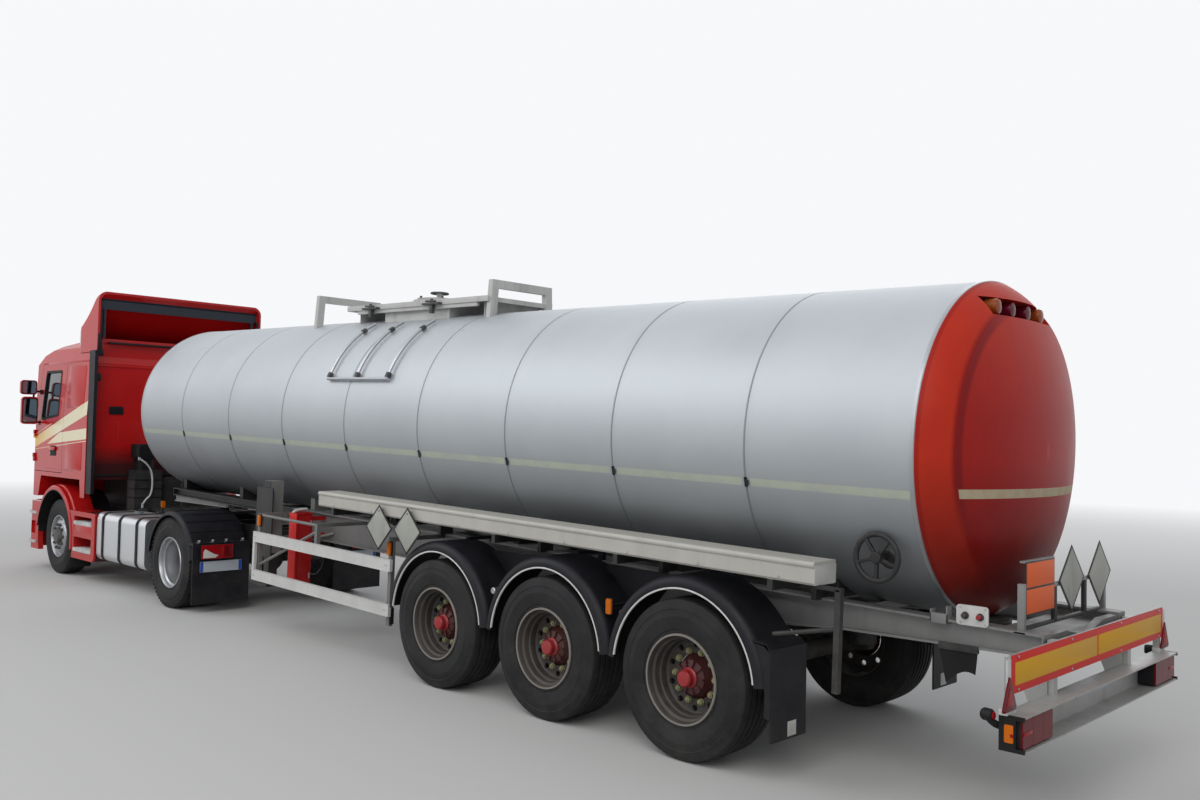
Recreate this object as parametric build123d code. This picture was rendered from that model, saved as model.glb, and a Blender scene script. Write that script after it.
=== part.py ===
from build123d import *
import math
import os

# Articulated tanker: a two-axle cab-over tractor and a three-axle insulated tank semi-trailer.
# Millimetres. +X points forward, +Y to the driver's left, +Z up, and the ground is z = 0.
# While it is built, x = 0 is the trailer's rearmost axle. place() moves all to the middle.

# Running gear
TRAILER_AXLES_X = (0, 1310, 2620)
DRIVE_AXLE_X = 7721
WHEELBASE = 3774
FRONT_AXLE_X = DRIVE_AXLE_X + WHEELBASE
TYRE_R = 525
RIM_R = 286
RIM_LIP = 14
RIM_DRAFT = 0.15
RIM_SET_IN = 24
SHOULDER_IN = 8
TRAILER_TYRE_W = 385
TRAILER_TRACK_HALF = 1057
FRONT_TYRE_W = 300
FRONT_TRACK_HALF = 1035
TWIN_TYRE_W = 290
TWIN_OUTER_Y = 1090
TWIN_INNER_Y = 755
KNUCKLE_Y = 840

# Coupling
KINGPIN_X = 8280
COUPLING_Z = 1150
SEAT_GAP = 0.3
KINGPIN_R = 25.4

# Tank and the trailer's slope: the trailer is built level and then tipped nose up
SLOPE_DEG = 1.44
TANK_R = 1058
TANK_LOW_Z = 1042
TANK_AXIS_Z = TANK_LOW_Z + TANK_R
TOP_Z = TANK_AXIS_Z + TANK_R
TANK_REAR_X = -1476
TANK_FRONT_X = 9124
BAY_COUNT = 9
SEAM_W = 16
SEAM_DEEP = 3
FRONT_DISH = 190
DOME_RIM_IN = 172
DOME_RIM_DROP = 158
DOME_RIM_R = TANK_R - DOME_RIM_DROP
DOME_DEEP = 330

# Trailer chassis, in the level frame
BEAM_Y = 600
BEAM_FLANGE_W = 110
BEAM_TOP_Z = TANK_LOW_Z + 55
BEAM_REAR_X = -2073
BEAM_REAR_H = 130
BEAM_MID_H = 290
BEAM_TAPER_X = 400
NECK_X = 6150
NECK_H = 95
BEAM_FRONT_X = 9000
WEB_T = 12
FLANGE_T = 14

# Trailer side parts
SIDE_Y = 1250
SIDE_BOX_X = (-970, 4497)
SIDE_BOX_TOP_Z = 1405
SIDE_BOX_H = 140
SIDE_BOX_DEEP = 240
GUARD_X = (3325, 5777)
GUARD_H = 105
GUARD_T = 30
GUARD_LOW_Z = 400
GUARD_HIGH_Z = 790
ARC_TRIM_R = 588
ARC_R = 664
ARC_T = 8
ARC_W = 400
LEG_X = 5925
LEG_Y = 930
LEG_W = 150
BUMPER_X = (-2240, -2110)
BUMPER_Z = (545, 725)
BOARD_X = -2150
BOARD_Z = (820, 1020)

# Cab, along X from the front axle
CAB_HALF_W = 1220
CAB_REAR_X = FRONT_AXLE_X - 1045
CAB_FRONT_X = FRONT_AXLE_X + 1370
CAB_FLOOR_Z = 1360
CAB_LOW_Z = 1060
CAB_ROOF_Z = 3290
CAB_WALL = 50
CAB_BOW = 235
DOOR_X = (FRONT_AXLE_X - 165, FRONT_AXLE_X + 945)
DOOR_Z = (CAB_FLOOR_Z + CAB_WALL + 10, 2990)
DOOR_GAP = 8
HINGE_X = DOOR_X[1] - 3
HINGE_Y = CAB_HALF_W + 17
HINGE_Z = (1620, 1960)
HINGE_R = 12
HINGE_PIN_R = 6
HINGE_H = 60
WINDOW_X = (DOOR_X[0] + 210, DOOR_X[1] - 240)
WINDOW_Z = (2180, 2860)
GLASS_T = 8
GLASS_IN = 20
GRILLE_Z = (1120, 1800)
GRILLE_HALF_W = 860
GRILLE_T = 35
FRONT_X = CAB_FRONT_X + GRILLE_T
DEFLECTOR_X = (CAB_REAR_X - 150, CAB_REAR_X + 1400)
DEFLECTOR_SIDE_X = CAB_REAR_X + 450
DEFLECTOR_TOP_Z = 3915
DEFLECTOR_HALF_W = CAB_HALF_W - 45
DEFLECTOR_T = 30
DEFLECTOR_CORNER_R = 120
DEFLECTOR_BAR_Z = (3680, 3800)
TILT_X = CAB_FRONT_X - 85
TILT_Z = CAB_LOW_Z - 30
TILT_Y = (430, 510)
TILT_PIN_R = 16

# Tractor chassis
RAIL_Y = 385
RAIL_H = 260
RAIL_TOP_Z = 950
RAIL_W = 75
RAIL_T = 9
RAIL_X = (DRIVE_AXLE_X - 761, FRONT_AXLE_X + 1065)
RAIL_OUT_Y = RAIL_Y + RAIL_W / 2
ARCH_R = 655
ARCH_OUT_R = 735
STEP_X = (FRONT_AXLE_X - 1505, FRONT_AXLE_X - 645)
STEP_Z = (300, 935)
STEP_Y = (CAB_HALF_W - 290, CAB_HALF_W + 18)
FUEL_X = (DRIVE_AXLE_X + 719, STEP_X[0] - 30)
FUEL_Z = (345, 965)
FUEL_Y = (600, 1215)
FUEL_CORNER_R = 90
BUMPER_T = 60
BUMPER_LOW_Z = 290
BUMPER_TOP_Z = CAB_LOW_Z - 75
MUDGUARD_R = 590
MUDGUARD_T = 8
FLAP_X = DRIVE_AXLE_X - 636

ORIGIN_X = (FRONT_X + BUMPER_X[0]) / 2
parts = {}


def place(shape):
    return shape.moved(Location((-ORIGIN_X, 0, 0)))


def tipped(shape):
    return shape.rotate(Axis.Y, -SLOPE_DEG)


def slope_rise(x):
    return x * math.tan(math.radians(SLOPE_DEG))


def add(name, shapes, on_trailer=False):
    solids = []
    for shape in shapes if isinstance(shapes, list) else [shapes]:
        solids += shape.solids()
    if on_trailer:
        solids = [tipped(s) for s in solids]
    parts[name] = Compound(children=[place(s) for s in solids])


def block(x, y, z):
    """A box between three pairs of limits."""
    size = (x[1] - x[0], y[1] - y[0], z[1] - z[0])
    middle = ((x[0] + x[1]) / 2, (y[0] + y[1]) / 2, (z[0] + z[1]) / 2)
    return Pos(*middle) * Box(*size)


def face_of(outline):
    return outline if isinstance(outline, Sketch) else make_face(Polyline(*outline, close=True))


def side_prism(outline, y):
    """An outline of (x, z) points or a sketch, run between two y."""
    return extrude(Plane.XZ.offset(-y[1]) * face_of(outline), amount=y[1] - y[0])


def end_prism(outline, x):
    """An outline of (y, z) points or a sketch, run between two x."""
    return extrude(Plane.YZ.offset(x[0]) * face_of(outline), amount=x[1] - x[0])


def plan_prism(outline, z):
    """An outline of (x, y) points or a sketch, run between two z."""
    return extrude(Plane.XY.offset(z[0]) * face_of(outline), amount=z[1] - z[0])


def cross_cylinder(r, y, x, z):
    """A cylinder along Y between two y."""
    return Pos(x, (y[0] + y[1]) / 2, z) * Rot(90, 0, 0) * Cylinder(r, y[1] - y[0])


def long_cylinder(r, x, y, z):
    """A cylinder along X between two x."""
    return Pos((x[0] + x[1]) / 2, y, z) * Rot(0, 90, 0) * Cylinder(r, x[1] - x[0])


def post(r, z, x, y):
    return Pos(x, y, (z[0] + z[1]) / 2) * Cylinder(r, z[1] - z[0])


def rod(start, end, r):
    """A round rod between two points."""
    path = Line(start, end)
    return sweep(Plane(origin=path @ 0, z_dir=path % 0) * Circle(r), path=path)


def mirrored(shape):
    return mirror(shape, about=Plane.XZ)


def both(shape):
    return [shape, mirrored(shape)]


def turned(profile, x, y, z):
    """Turn a profile of (radius, offset along +Y) points about the Y axis through a point."""
    face = make_face(Polyline(*profile, close=True))
    return Pos(x, y, z) * revolve(face, axis=Axis.Y)


def arch(profile, x, z, start_deg, end_deg):
    """Turn a profile in (radius, y) about an axle, from one angle above +X to another."""
    swept = revolve(face_of(profile), axis=Axis.Y, revolution_arc=end_deg - start_deg)
    return Pos(x, 0, z) * swept.rotate(Axis.Y, -end_deg)


def rolled_lip(lip_r, sheet_r, sheet_t, lip_y, inner_y):
    """A mudguard's section in (radius, y): a flat sheet with a full round lip on its outer side."""
    deep = (sheet_r + sheet_t - lip_r) * 0.72
    out_r = sheet_r + sheet_t
    return Sketch() + make_face([
        ThreePointArc((lip_r, lip_y), (sheet_r - sheet_t, lip_y - deep * 0.26), (out_r, lip_y - deep)),
        Line((out_r, lip_y - deep), (out_r, inner_y)),
        Line((out_r, inner_y), (sheet_r, inner_y)),
        Line((sheet_r, inner_y), (sheet_r, lip_y - deep - 4)),
        ThreePointArc(
            (sheet_r, lip_y - deep - 4), (sheet_r - 2.2 * sheet_t, lip_y - deep * 0.42),
            (lip_r, lip_y - sheet_t),
        ),
        Line((lip_r, lip_y - sheet_t), (lip_r, lip_y)),
    ])


def around(x, z, r, deg):
    """The point on a circle about an axle, as (x, z)."""
    return (x + r * math.cos(math.radians(deg)), z + r * math.sin(math.radians(deg)))


# Wheels
def tyre(width, x, y):
    half = width / 2
    profile = [
        (RIM_R, -half + RIM_SET_IN), (TYRE_R, -half + SHOULDER_IN),
        (TYRE_R, half - SHOULDER_IN), (RIM_R, half - RIM_SET_IN),
    ]
    return turned(profile, x, y, TYRE_R)


def deep_rim(width, x, y, face_in, hub_r, cap_out):
    """A single wheel: barrel under the tyre, disc set in by face_in, and a hub cap."""
    out = width / 2 - RIM_SET_IN
    disc = out - face_in
    profile = [
        (0, -out), (RIM_R - SEAT_GAP, -out), (RIM_R - SEAT_GAP, out), (RIM_R - RIM_LIP, out),
        (RIM_R - RIM_LIP - face_in * RIM_DRAFT, disc), (hub_r, disc), (hub_r, disc + cap_out),
        (0, disc + cap_out),
    ]
    return turned(profile, x, y, TYRE_R)


def wheel_pair(name, width, x, y, face_in, hub_r, cap_out):
    tyre_left = tyre(width, x, y)
    rim_left = deep_rim(width, x, y, face_in, hub_r, cap_out)
    for side, t, r in (("left", tyre_left, rim_left), ("right", mirrored(tyre_left), mirrored(rim_left))):
        add(f"{name}_tyre_{side}", t)
        add(f"{name}_rim_{side}", r)


for number, axle_x in enumerate(TRAILER_AXLES_X, 1):
    wheel_pair(f"trailer{4 - number}", TRAILER_TYRE_W, axle_x, TRAILER_TRACK_HALF, 150, 62, 135)
wheel_pair("front", FRONT_TYRE_W, FRONT_AXLE_X, FRONT_TRACK_HALF, 30, 110, 45)

TWIN_HUB_R = 140
TWIN_HUB_OUT = 95
TWIN_DISC_T = 15
twin_out = TWIN_OUTER_Y + TWIN_TYRE_W / 2 - RIM_SET_IN
twin_in = TWIN_INNER_Y - TWIN_TYRE_W / 2 + RIM_SET_IN
twin_disc = (TWIN_INNER_Y + TWIN_OUTER_Y) / 2 + TWIN_DISC_T
twin_draft = (twin_out - twin_disc) * RIM_DRAFT
twin_profile = [
    (0, twin_in), (RIM_R - SEAT_GAP, twin_in), (RIM_R - SEAT_GAP, twin_out), (RIM_R - RIM_LIP, twin_out),
    (RIM_R - RIM_LIP - twin_draft, twin_disc), (TWIN_HUB_R, twin_disc),
    (TWIN_HUB_R, twin_disc + TWIN_HUB_OUT), (0, twin_disc + TWIN_HUB_OUT),
]
twin_tyres = [tyre(TWIN_TYRE_W, DRIVE_AXLE_X, y) for y in (TWIN_INNER_Y, TWIN_OUTER_Y)]
twin_rim = turned(twin_profile, DRIVE_AXLE_X, 0, TYRE_R)
add("drive_tyre_left", twin_tyres)
add("drive_tyre_right", [mirrored(t) for t in twin_tyres])
add("drive_rim_left", twin_rim)
add("drive_rim_right", mirrored(twin_rim))


# Tank: a clad barrel with shallow seams, a dished front and a domed rear end
def cap_middle(rim_in, rim_r, deep):
    """The point half way along a spherical cap's arc, from its rim to its crown."""
    rise = deep - rim_in
    ball = (rim_r ** 2 + rise ** 2) / (2 * rise)
    half_turn = math.asin(rim_r / ball) / 2
    return (-deep + ball * (1 - math.cos(half_turn)), ball * math.sin(half_turn))


def barrel_around(gap, x):
    """The barrel's outside with a gap round it, as a cutter for what lies against it."""
    return long_cylinder(TANK_R + gap, x, 0, TANK_AXIS_Z)


def tank():
    bay = (TANK_FRONT_X - TANK_REAR_X) / BAY_COUNT
    barrel = barrel_around(0, (TANK_REAR_X, TANK_FRONT_X))
    for n in range(1, BAY_COUNT):
        x = TANK_REAR_X + n * bay
        ring = barrel_around(5, (x - SEAM_W / 2, x + SEAM_W / 2))
        barrel -= ring - barrel_around(-SEAM_DEEP, (x - SEAM_W, x + SEAM_W))
    middle = cap_middle(0, TANK_R, FRONT_DISH)
    dish_face = make_face([
        Line((0, 0), (0, TANK_R)),
        ThreePointArc((0, TANK_R), (-middle[0], middle[1]), (FRONT_DISH, 0)),
        Line((FRONT_DISH, 0), (0, 0)),
    ])
    return barrel + Pos(TANK_FRONT_X, 0, TANK_AXIS_Z) * revolve(Plane.XZ * dish_face, axis=Axis.X)


def dome():
    rim = (-DOME_RIM_IN, DOME_RIM_R)
    crown = (-DOME_DEEP, 0)
    shoulder = (-DOME_RIM_IN * 0.6, TANK_R - DOME_RIM_DROP * 0.48)
    face = make_face([
        Line((0, 0), (0, TANK_R)),
        ThreePointArc((0, TANK_R), shoulder, rim),
        ThreePointArc(rim, cap_middle(DOME_RIM_IN, DOME_RIM_R, DOME_DEEP), crown),
        Line(crown, (0, 0)),
    ])
    return Pos(TANK_REAR_X - SEAT_GAP, 0, TANK_AXIS_Z) * revolve(Plane.XZ * face, axis=Axis.X)


POD_HALF_W = 440
POD_Z = (TOP_Z - 250, TOP_Z - 135)
POD_BACK_X = TANK_REAR_X - 40
POD_LAMP_R = 50
POD_LAMP_DEEP = 45
POD_LAMP_Y = (-320, -115, 115, 320)
pod_slot = block((POD_BACK_X - 500, POD_BACK_X), (-POD_HALF_W, POD_HALF_W), POD_Z)
add("tank_shell", tank(), True)
add("rear_dome", dome() - pod_slot, True)

# Top gear: platform over a spill box, manhole, roll-over frames, side tubes
PLATFORM_X = (3130, 5480)
PLATFORM_HALF_W = 400
PLATFORM_Z = (TOP_Z + 75, TOP_Z + 115)
PLATFORM_SHEET = 6
BOX_X = (3780, 4860)
BOX_HALF_W = 340
BOX_WALL = 12
MANHOLE_X = 4400
MANHOLE_R = 250
MANHOLE_WALL = 15
MANHOLE_TOP_Z = TOP_Z + 140
LID_T = 30
LID_OVER = 15
LID_HINGE_X = MANHOLE_X - MANHOLE_R - 60
LID_HINGE_Z = MANHOLE_TOP_Z + LID_T / 2
LID_PIN_R = 8
LID_BARREL_R = 14
LUG_Y = (42, 60)
FRAME_BAR = 75
FRAME_DEEP = 58
top_cutter = barrel_around(SEAT_GAP, (0, TANK_FRONT_X))


def platform():
    """A shallow pan open over the manhole, on a spill box that follows the barrel."""
    rim = block(PLATFORM_X, (-PLATFORM_HALF_W, PLATFORM_HALF_W), PLATFORM_Z)
    inner_x = (PLATFORM_X[0] + PLATFORM_SHEET, PLATFORM_X[1] - PLATFORM_SHEET)
    inner_y = (-PLATFORM_HALF_W + PLATFORM_SHEET, PLATFORM_HALF_W - PLATFORM_SHEET)
    rim -= block(inner_x, inner_y, (PLATFORM_Z[0] - 1, PLATFORM_Z[1] - PLATFORM_SHEET))
    box = block(BOX_X, (-BOX_HALF_W, BOX_HALF_W), (TOP_Z - 120, PLATFORM_Z[1]))
    well_x = (BOX_X[0] + BOX_WALL, BOX_X[1] - BOX_WALL)
    well_y = (-BOX_HALF_W + BOX_WALL, BOX_HALF_W - BOX_WALL)
    well = block(well_x, well_y, (TOP_Z - 200, PLATFORM_Z[1] + 1))
    carrier_x = (PLATFORM_X[0] + 120, PLATFORM_X[1] - 160)
    carriers = None
    for x in carrier_x:
        web = block((x - 5, x + 5), (-BOX_HALF_W, BOX_HALF_W), (TOP_Z - 120, PLATFORM_Z[1] - 1))
        carriers = web if carriers is None else carriers + web
    return (rim + box + carriers) - well - top_cutter


def manhole_neck():
    neck = post(MANHOLE_R, (TOP_Z - 60, MANHOLE_TOP_Z), MANHOLE_X, 0)
    neck -= post(MANHOLE_R - MANHOLE_WALL, (TOP_Z - 70, MANHOLE_TOP_Z + 1), MANHOLE_X, 0)
    for side in (-1, 1):
        y = tuple(sorted((side * LUG_Y[0], side * LUG_Y[1])))
        lug_x = (LID_HINGE_X - LID_BARREL_R, MANHOLE_X - MANHOLE_R + 12)
        neck += block(lug_x, y, (MANHOLE_TOP_Z - 60, LID_HINGE_Z + LID_BARREL_R))
        neck -= cross_cylinder(LID_PIN_R + SEAT_GAP, y, LID_HINGE_X, LID_HINGE_Z)
    return neck - top_cutter


def manhole_lid():
    under = MANHOLE_TOP_Z + SEAT_GAP
    lid = post(MANHOLE_R + LID_OVER, (under, MANHOLE_TOP_Z + LID_T), MANHOLE_X, 0)
    lid += post(MANHOLE_R - 60, (under, MANHOLE_TOP_Z + LID_T + 25), MANHOLE_X, 0)
    lug_cut = (LUG_Y[1] + 6) * 2
    lid -= Pos(MANHOLE_X - MANHOLE_R, 0, LID_HINGE_Z) * Box(2 * LID_OVER + 12, lug_cut, 2 * LID_T)
    inner = LUG_Y[0] - 5
    lid += block((LID_HINGE_X, MANHOLE_X - MANHOLE_R + 40), (-inner, inner), (under, MANHOLE_TOP_Z + LID_T))
    lid += cross_cylinder(LID_BARREL_R, (-inner, inner), LID_HINGE_X, LID_HINGE_Z)
    return lid + cross_cylinder(LID_PIN_R, (-LUG_Y[1], LUG_Y[1]), LID_HINGE_X, LID_HINGE_Z)


# Columns: place along X, half width, height of the top edge over the barrel's crown
ROLL_FRAMES = ((3138, 370, 277), (6090, 400, 280))


def roll_frame(x, half_w, rise):
    top = TOP_Z + rise
    lean = 25
    outer = [(-half_w - lean, TOP_Z - 120), (half_w + lean, TOP_Z - 120), (half_w, top), (-half_w, top)]
    inner_w = half_w - FRAME_BAR
    inner = [
        (-inner_w - lean, TOP_Z - 200), (inner_w + lean, TOP_Z - 200),
        (inner_w, top - FRAME_BAR), (-inner_w, top - FRAME_BAR),
    ]
    bar = end_prism(outer, (x - FRAME_DEEP / 2, x + FRAME_DEEP / 2))
    return bar - end_prism(inner, (x - FRAME_DEEP, x + FRAME_DEEP)) - top_cutter


frames = [roll_frame(*row) for row in ROLL_FRAMES]
platform_solid = platform() - frames[0]
add("top_gear", [platform_solid + frames[0], manhole_neck(), frames[1]], True)
add("manhole_lid", manhole_lid(), True)

DRIP_TUBE_R = 16
DRIP_X = (3780, 4290, 4772)
DRIP_TOP_DEG = 62
DRIP_LOW_DEG = 20.5
DRIP_STAND = 34
DRIP_FEET_DEG = (DRIP_LOW_DEG, 54)
DRIP_FOOT = 24


def drip_point(deg):
    r = TANK_R + DRIP_STAND
    return (r * math.cos(math.radians(deg)), TANK_AXIS_Z + r * math.sin(math.radians(deg)))


def drip_tubes():
    """A tube ladder on the barrel's side: one low rail and three arcs on short feet."""
    top, low = drip_point(DRIP_TOP_DEG), drip_point(DRIP_LOW_DEG)
    middle = drip_point((DRIP_TOP_DEG + DRIP_LOW_DEG) / 2)
    frame = long_cylinder(DRIP_TUBE_R, (DRIP_X[0] - DRIP_TUBE_R, DRIP_X[-1] + DRIP_TUBE_R), *low)
    for x in DRIP_X:
        arc = ThreePointArc((x, *low), (x, *middle), (x, *top))
        frame += sweep(Plane(origin=arc @ 0, z_dir=arc % 0) * Circle(DRIP_TUBE_R - 1), path=arc)
    for x in (DRIP_X[0], DRIP_X[-1]):
        for deg in DRIP_FEET_DEG:
            foot = Pos(0, TANK_R + DRIP_STAND / 2, 0) * Box(DRIP_FOOT, DRIP_STAND, DRIP_FOOT)
            frame += Pos(x, 0, TANK_AXIS_Z) * Rot(deg, 0, 0) * foot
    return frame - top_cutter


add("drip_tubes", drip_tubes(), True)

# Trailer chassis
# Columns: place along X and height of the underside, in the level frame
BEAM_UNDERSIDE = (
    (BEAM_REAR_X, BEAM_TOP_Z - BEAM_REAR_H),
    (BEAM_REAR_X + 1300, BEAM_TOP_Z - BEAM_REAR_H - 50),
    (BEAM_TAPER_X, BEAM_TOP_Z - BEAM_MID_H),
    (NECK_X - 350, BEAM_TOP_Z - BEAM_MID_H),
    (NECK_X, BEAM_TOP_Z - NECK_H),
    (BEAM_FRONT_X, BEAM_TOP_Z - NECK_H),
)


def beam():
    """An I-beam that is shallow at the rear end and over the coupling."""
    outline = list(BEAM_UNDERSIDE) + [(BEAM_FRONT_X, BEAM_TOP_Z), (BEAM_REAR_X, BEAM_TOP_Z)]
    solid = side_prism(outline, (BEAM_Y - BEAM_FLANGE_W / 2, BEAM_Y + BEAM_FLANGE_W / 2))
    pocket = [(x, z + FLANGE_T) for x, z in BEAM_UNDERSIDE]
    pocket += [(BEAM_FRONT_X, BEAM_TOP_Z - FLANGE_T), (BEAM_REAR_X, BEAM_TOP_Z - FLANGE_T)]
    for side in (-1, 1):
        near, far = sorted((BEAM_Y + side * WEB_T / 2, BEAM_Y + side * BEAM_FLANGE_W))
        inset = side_prism(pocket, (near, far))
        solid -= inset & block((BEAM_REAR_X + 10, BEAM_FRONT_X - 10), (near - 1, far + 1), (0, BEAM_TOP_Z))
    return solid


def beam_low_z(x):
    """The beam's underside over the axles, in the ground frame."""
    (x0, z0), (x1, z1) = BEAM_UNDERSIDE[1], BEAM_UNDERSIDE[2]
    share = min(1, (x - x0) / (x1 - x0))
    return z0 + share * (z1 - z0) + slope_rise(x)


CROSS_X = (-2040, -900, 700, 2000, 3400, 5000, 6400, 8960)
CROSS_H = 60
SADDLE_X = (-700, 600, 2400, 4200, 5700, 7300, 8800)
SADDLE_HALF_L = 40
SADDLE_HALF_W = BEAM_Y - 10
SADDLE_RISE = 260
PAN_X = (-2035, -1660)
PAN_T = 8
full_cutter = barrel_around(SEAT_GAP, (-3000, TANK_FRONT_X + 500))


def trailer_frame():
    left = beam()
    frame = left + mirrored(left)
    under_flange = BEAM_TOP_Z - FLANGE_T
    for x in CROSS_X:
        frame += block((x - 25, x + 25), (-BEAM_Y, BEAM_Y), (under_flange - CROSS_H, under_flange))
    for x in SADDLE_X:
        saddle_x = (x - SADDLE_HALF_L, x + SADDLE_HALF_L)
        frame += block(saddle_x, (-SADDLE_HALF_W, SADDLE_HALF_W), (BEAM_TOP_Z - 5, TANK_LOW_Z + SADDLE_RISE))
    frame += block(PAN_X, (-BEAM_Y, BEAM_Y), (under_flange - CROSS_H, under_flange - CROSS_H + PAN_T))
    return frame - full_cutter


frame_level = trailer_frame()
frame_world = tipped(frame_level)
tank_world = tipped(full_cutter)
add("trailer_frame", frame_world)

# Rubbing plate: level over the fifth wheel, under the sloping beams, with the kingpin
PLATE_X = (7560, 8980)
PLATE_T = 14
PLATE_HALF_W = BEAM_Y + 30
PLATE_RIB_Y = (-BEAM_Y, -330, 0, 330, BEAM_Y)
PIN_LENGTH = 84
PIN_COLLAR = 10


def neck_low_z(x):
    """Half way up the beams' lower flange over the coupling, in the ground frame."""
    return BEAM_TOP_Z - NECK_H + slope_rise(x) + FLANGE_T / 2


def kingpin_plate():
    plate = block(PLATE_X, (-PLATE_HALF_W, PLATE_HALF_W), (COUPLING_Z + SEAT_GAP, COUPLING_Z + PLATE_T))
    rib_low = COUPLING_Z + PLATE_T - 2
    rear, front = PLATE_X
    rib = [(rear, rib_low), (front, rib_low), (front, neck_low_z(front)), (rear, neck_low_z(rear))]
    for y in PLATE_RIB_Y:
        plate += side_prism(rib, (y - 10, y + 10))
    plate += post(KINGPIN_R, (COUPLING_Z - PIN_LENGTH, COUPLING_Z + 5), KINGPIN_X, 0)
    collar_z = (COUPLING_Z - PIN_LENGTH, COUPLING_Z - PIN_LENGTH + 14)
    plate += post(KINGPIN_R + PIN_COLLAR, collar_z, KINGPIN_X, 0)
    return plate - tank_world - frame_world


add("kingpin_plate", kingpin_plate())

# Trailer axles with trailing arms, hangers and air bellows
AXLE_R = 70
BELLOW_R = 110
BELLOW_BACK = 250
HANGER_AHEAD = 520
# Columns: place along X and height, both from the axle's centre
ARM_OUTLINE = ((520, 130), (520, 210), (-40, 90), (-330, 60), (-330, 10), (-40, -40), (60, -40))


def trailer_axle(x):
    reach = TRAILER_TRACK_HALF - TRAILER_TYRE_W / 2 + RIM_SET_IN - SEAT_GAP
    shape = cross_cylinder(AXLE_R, (-reach, reach), x, TYRE_R)
    bellow_x = x - BELLOW_BACK
    hanger_x = x + HANGER_AHEAD
    for y in (-BEAM_Y, BEAM_Y):
        shape += side_prism([(x + dx, TYRE_R + dz) for dx, dz in ARM_OUTLINE], (y - 45, y + 45))
        shape += post(BELLOW_R, (TYRE_R + 50, beam_low_z(bellow_x) + FLANGE_T - 4), bellow_x, y)
        hanger_z = (TYRE_R + 100, beam_low_z(hanger_x) + FLANGE_T - 4)
        shape += block((hanger_x - 60, hanger_x + 60), (y - 52, y + 52), hanger_z)
    return shape - frame_world


add("trailer_axles", [trailer_axle(x) for x in TRAILER_AXLES_X])

# Trailer mudguards: rolled arches with a flap behind the last one
FLAP_T = 12
GUARD_TOP_Z = TYRE_R + ARC_R + ARC_T
FLAP_BACK_X = TRAILER_AXLES_X[0] - ARC_R - ARC_T - 34


def trailer_mudguards():
    inner_y = SIDE_Y - ARC_W
    profile = rolled_lip(ARC_TRIM_R, ARC_R, ARC_T, SIDE_Y - 4, inner_y)
    guard = None
    for x in TRAILER_AXLES_X:
        shell = arch(profile, x, TYRE_R, 5, 175)
        guard = shell if guard is None else guard + shell
    for n in range(len(TRAILER_AXLES_X)):
        hub = cross_cylinder(ARC_R - 0.5, (0, 2000), TRAILER_AXLES_X[n], TYRE_R)
        guard -= hub & block((-9000, 9000), (0, SIDE_Y - 73), (0, 3000))
    flap_y = (inner_y, SIDE_Y - 20)
    guard += block((FLAP_BACK_X, FLAP_BACK_X + FLAP_T), flap_y, (260, 820))
    link = block((FLAP_BACK_X, FLAP_BACK_X + 150), flap_y, (770, 800))
    guard += link - cross_cylinder(ARC_R + 2, (0, 2000), TRAILER_AXLES_X[0], TYRE_R)
    for n in range(len(TRAILER_AXLES_X) - 1):
        middle = (TRAILER_AXLES_X[n] + TRAILER_AXLES_X[n + 1]) / 2
        web = block((middle - 330, middle + 330), (inner_y + 60, inner_y + 66), (TYRE_R + 250, 1140))
        for x in TRAILER_AXLES_X:
            web -= cross_cylinder(ARC_R + 2, (0, 2000), x, TYRE_R)
        guard += web
    for x in TRAILER_AXLES_X:
        stay = block((x - 25, x + 25), (BEAM_Y, inner_y + 60), (GUARD_TOP_Z - 6, GUARD_TOP_Z + 20))
        beam_top = BEAM_TOP_Z + slope_rise(x)
        stay += block((x - 25, x + 25), (BEAM_Y + 10, BEAM_Y + 50), (beam_top - 6, GUARD_TOP_Z + 20))
        guard += stay - frame_world - tank_world
    return guard


add("trailer_mudguards", both(trailer_mudguards()))

# Side boxes on brackets from the beams
BRACKET_X = (-640, 655, 1965, 3300, 4300)
BOX_LIP_R = 20
box_cutter = barrel_around(2, (-3000, 9500))


def side_box():
    """A long flat trunk with a rolled upper lip."""
    z = (SIDE_BOX_TOP_Z - SIDE_BOX_H, SIDE_BOX_TOP_Z)
    y = (SIDE_Y - SIDE_BOX_DEEP, SIDE_Y)
    outline = [
        (y[0], z[0]), (y[1] - 26, z[0]), (y[1] - 12, z[0] + 14), (y[1] - 12, z[1] - 20), (y[0], z[1] - 20),
    ]
    body = end_prism(outline, SIDE_BOX_X) + block(SIDE_BOX_X, (y[0], y[1] - BOX_LIP_R), (z[1] - 30, z[1]))
    body += long_cylinder(BOX_LIP_R, SIDE_BOX_X, y[1] - BOX_LIP_R, z[1] - BOX_LIP_R)
    for x in BRACKET_X:
        body += block((x - 20, x + 20), (BEAM_Y + 100, y[1] - 40), (z[0] - 70, z[0] + 4))
        body += block((x - 20, x + 20), (BEAM_Y - 20, BEAM_Y + 120), (BEAM_TOP_Z - 10, z[0]))
    return body - box_cutter - frame_level


add("side_boxes", both(side_box()), True)

# Side guards: two planks on posts from the beams
GUARD_ARM_Z = (BEAM_TOP_Z - 50, BEAM_TOP_Z - 16)
GUARD_POST_HALF = 22
GUARD_POST_Y = (SIDE_Y - 110, SIDE_Y - 70)
STAY_R = 15
# Columns: place along X and the post's lower end
GUARD_POSTS = (
    (GUARD_X[0] + 60, GUARD_LOW_Z - 90),
    (GUARD_X[1] - 1150, GUARD_HIGH_Z + 20),
    (GUARD_X[1] - 40, GUARD_LOW_Z - 20),
)


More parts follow.
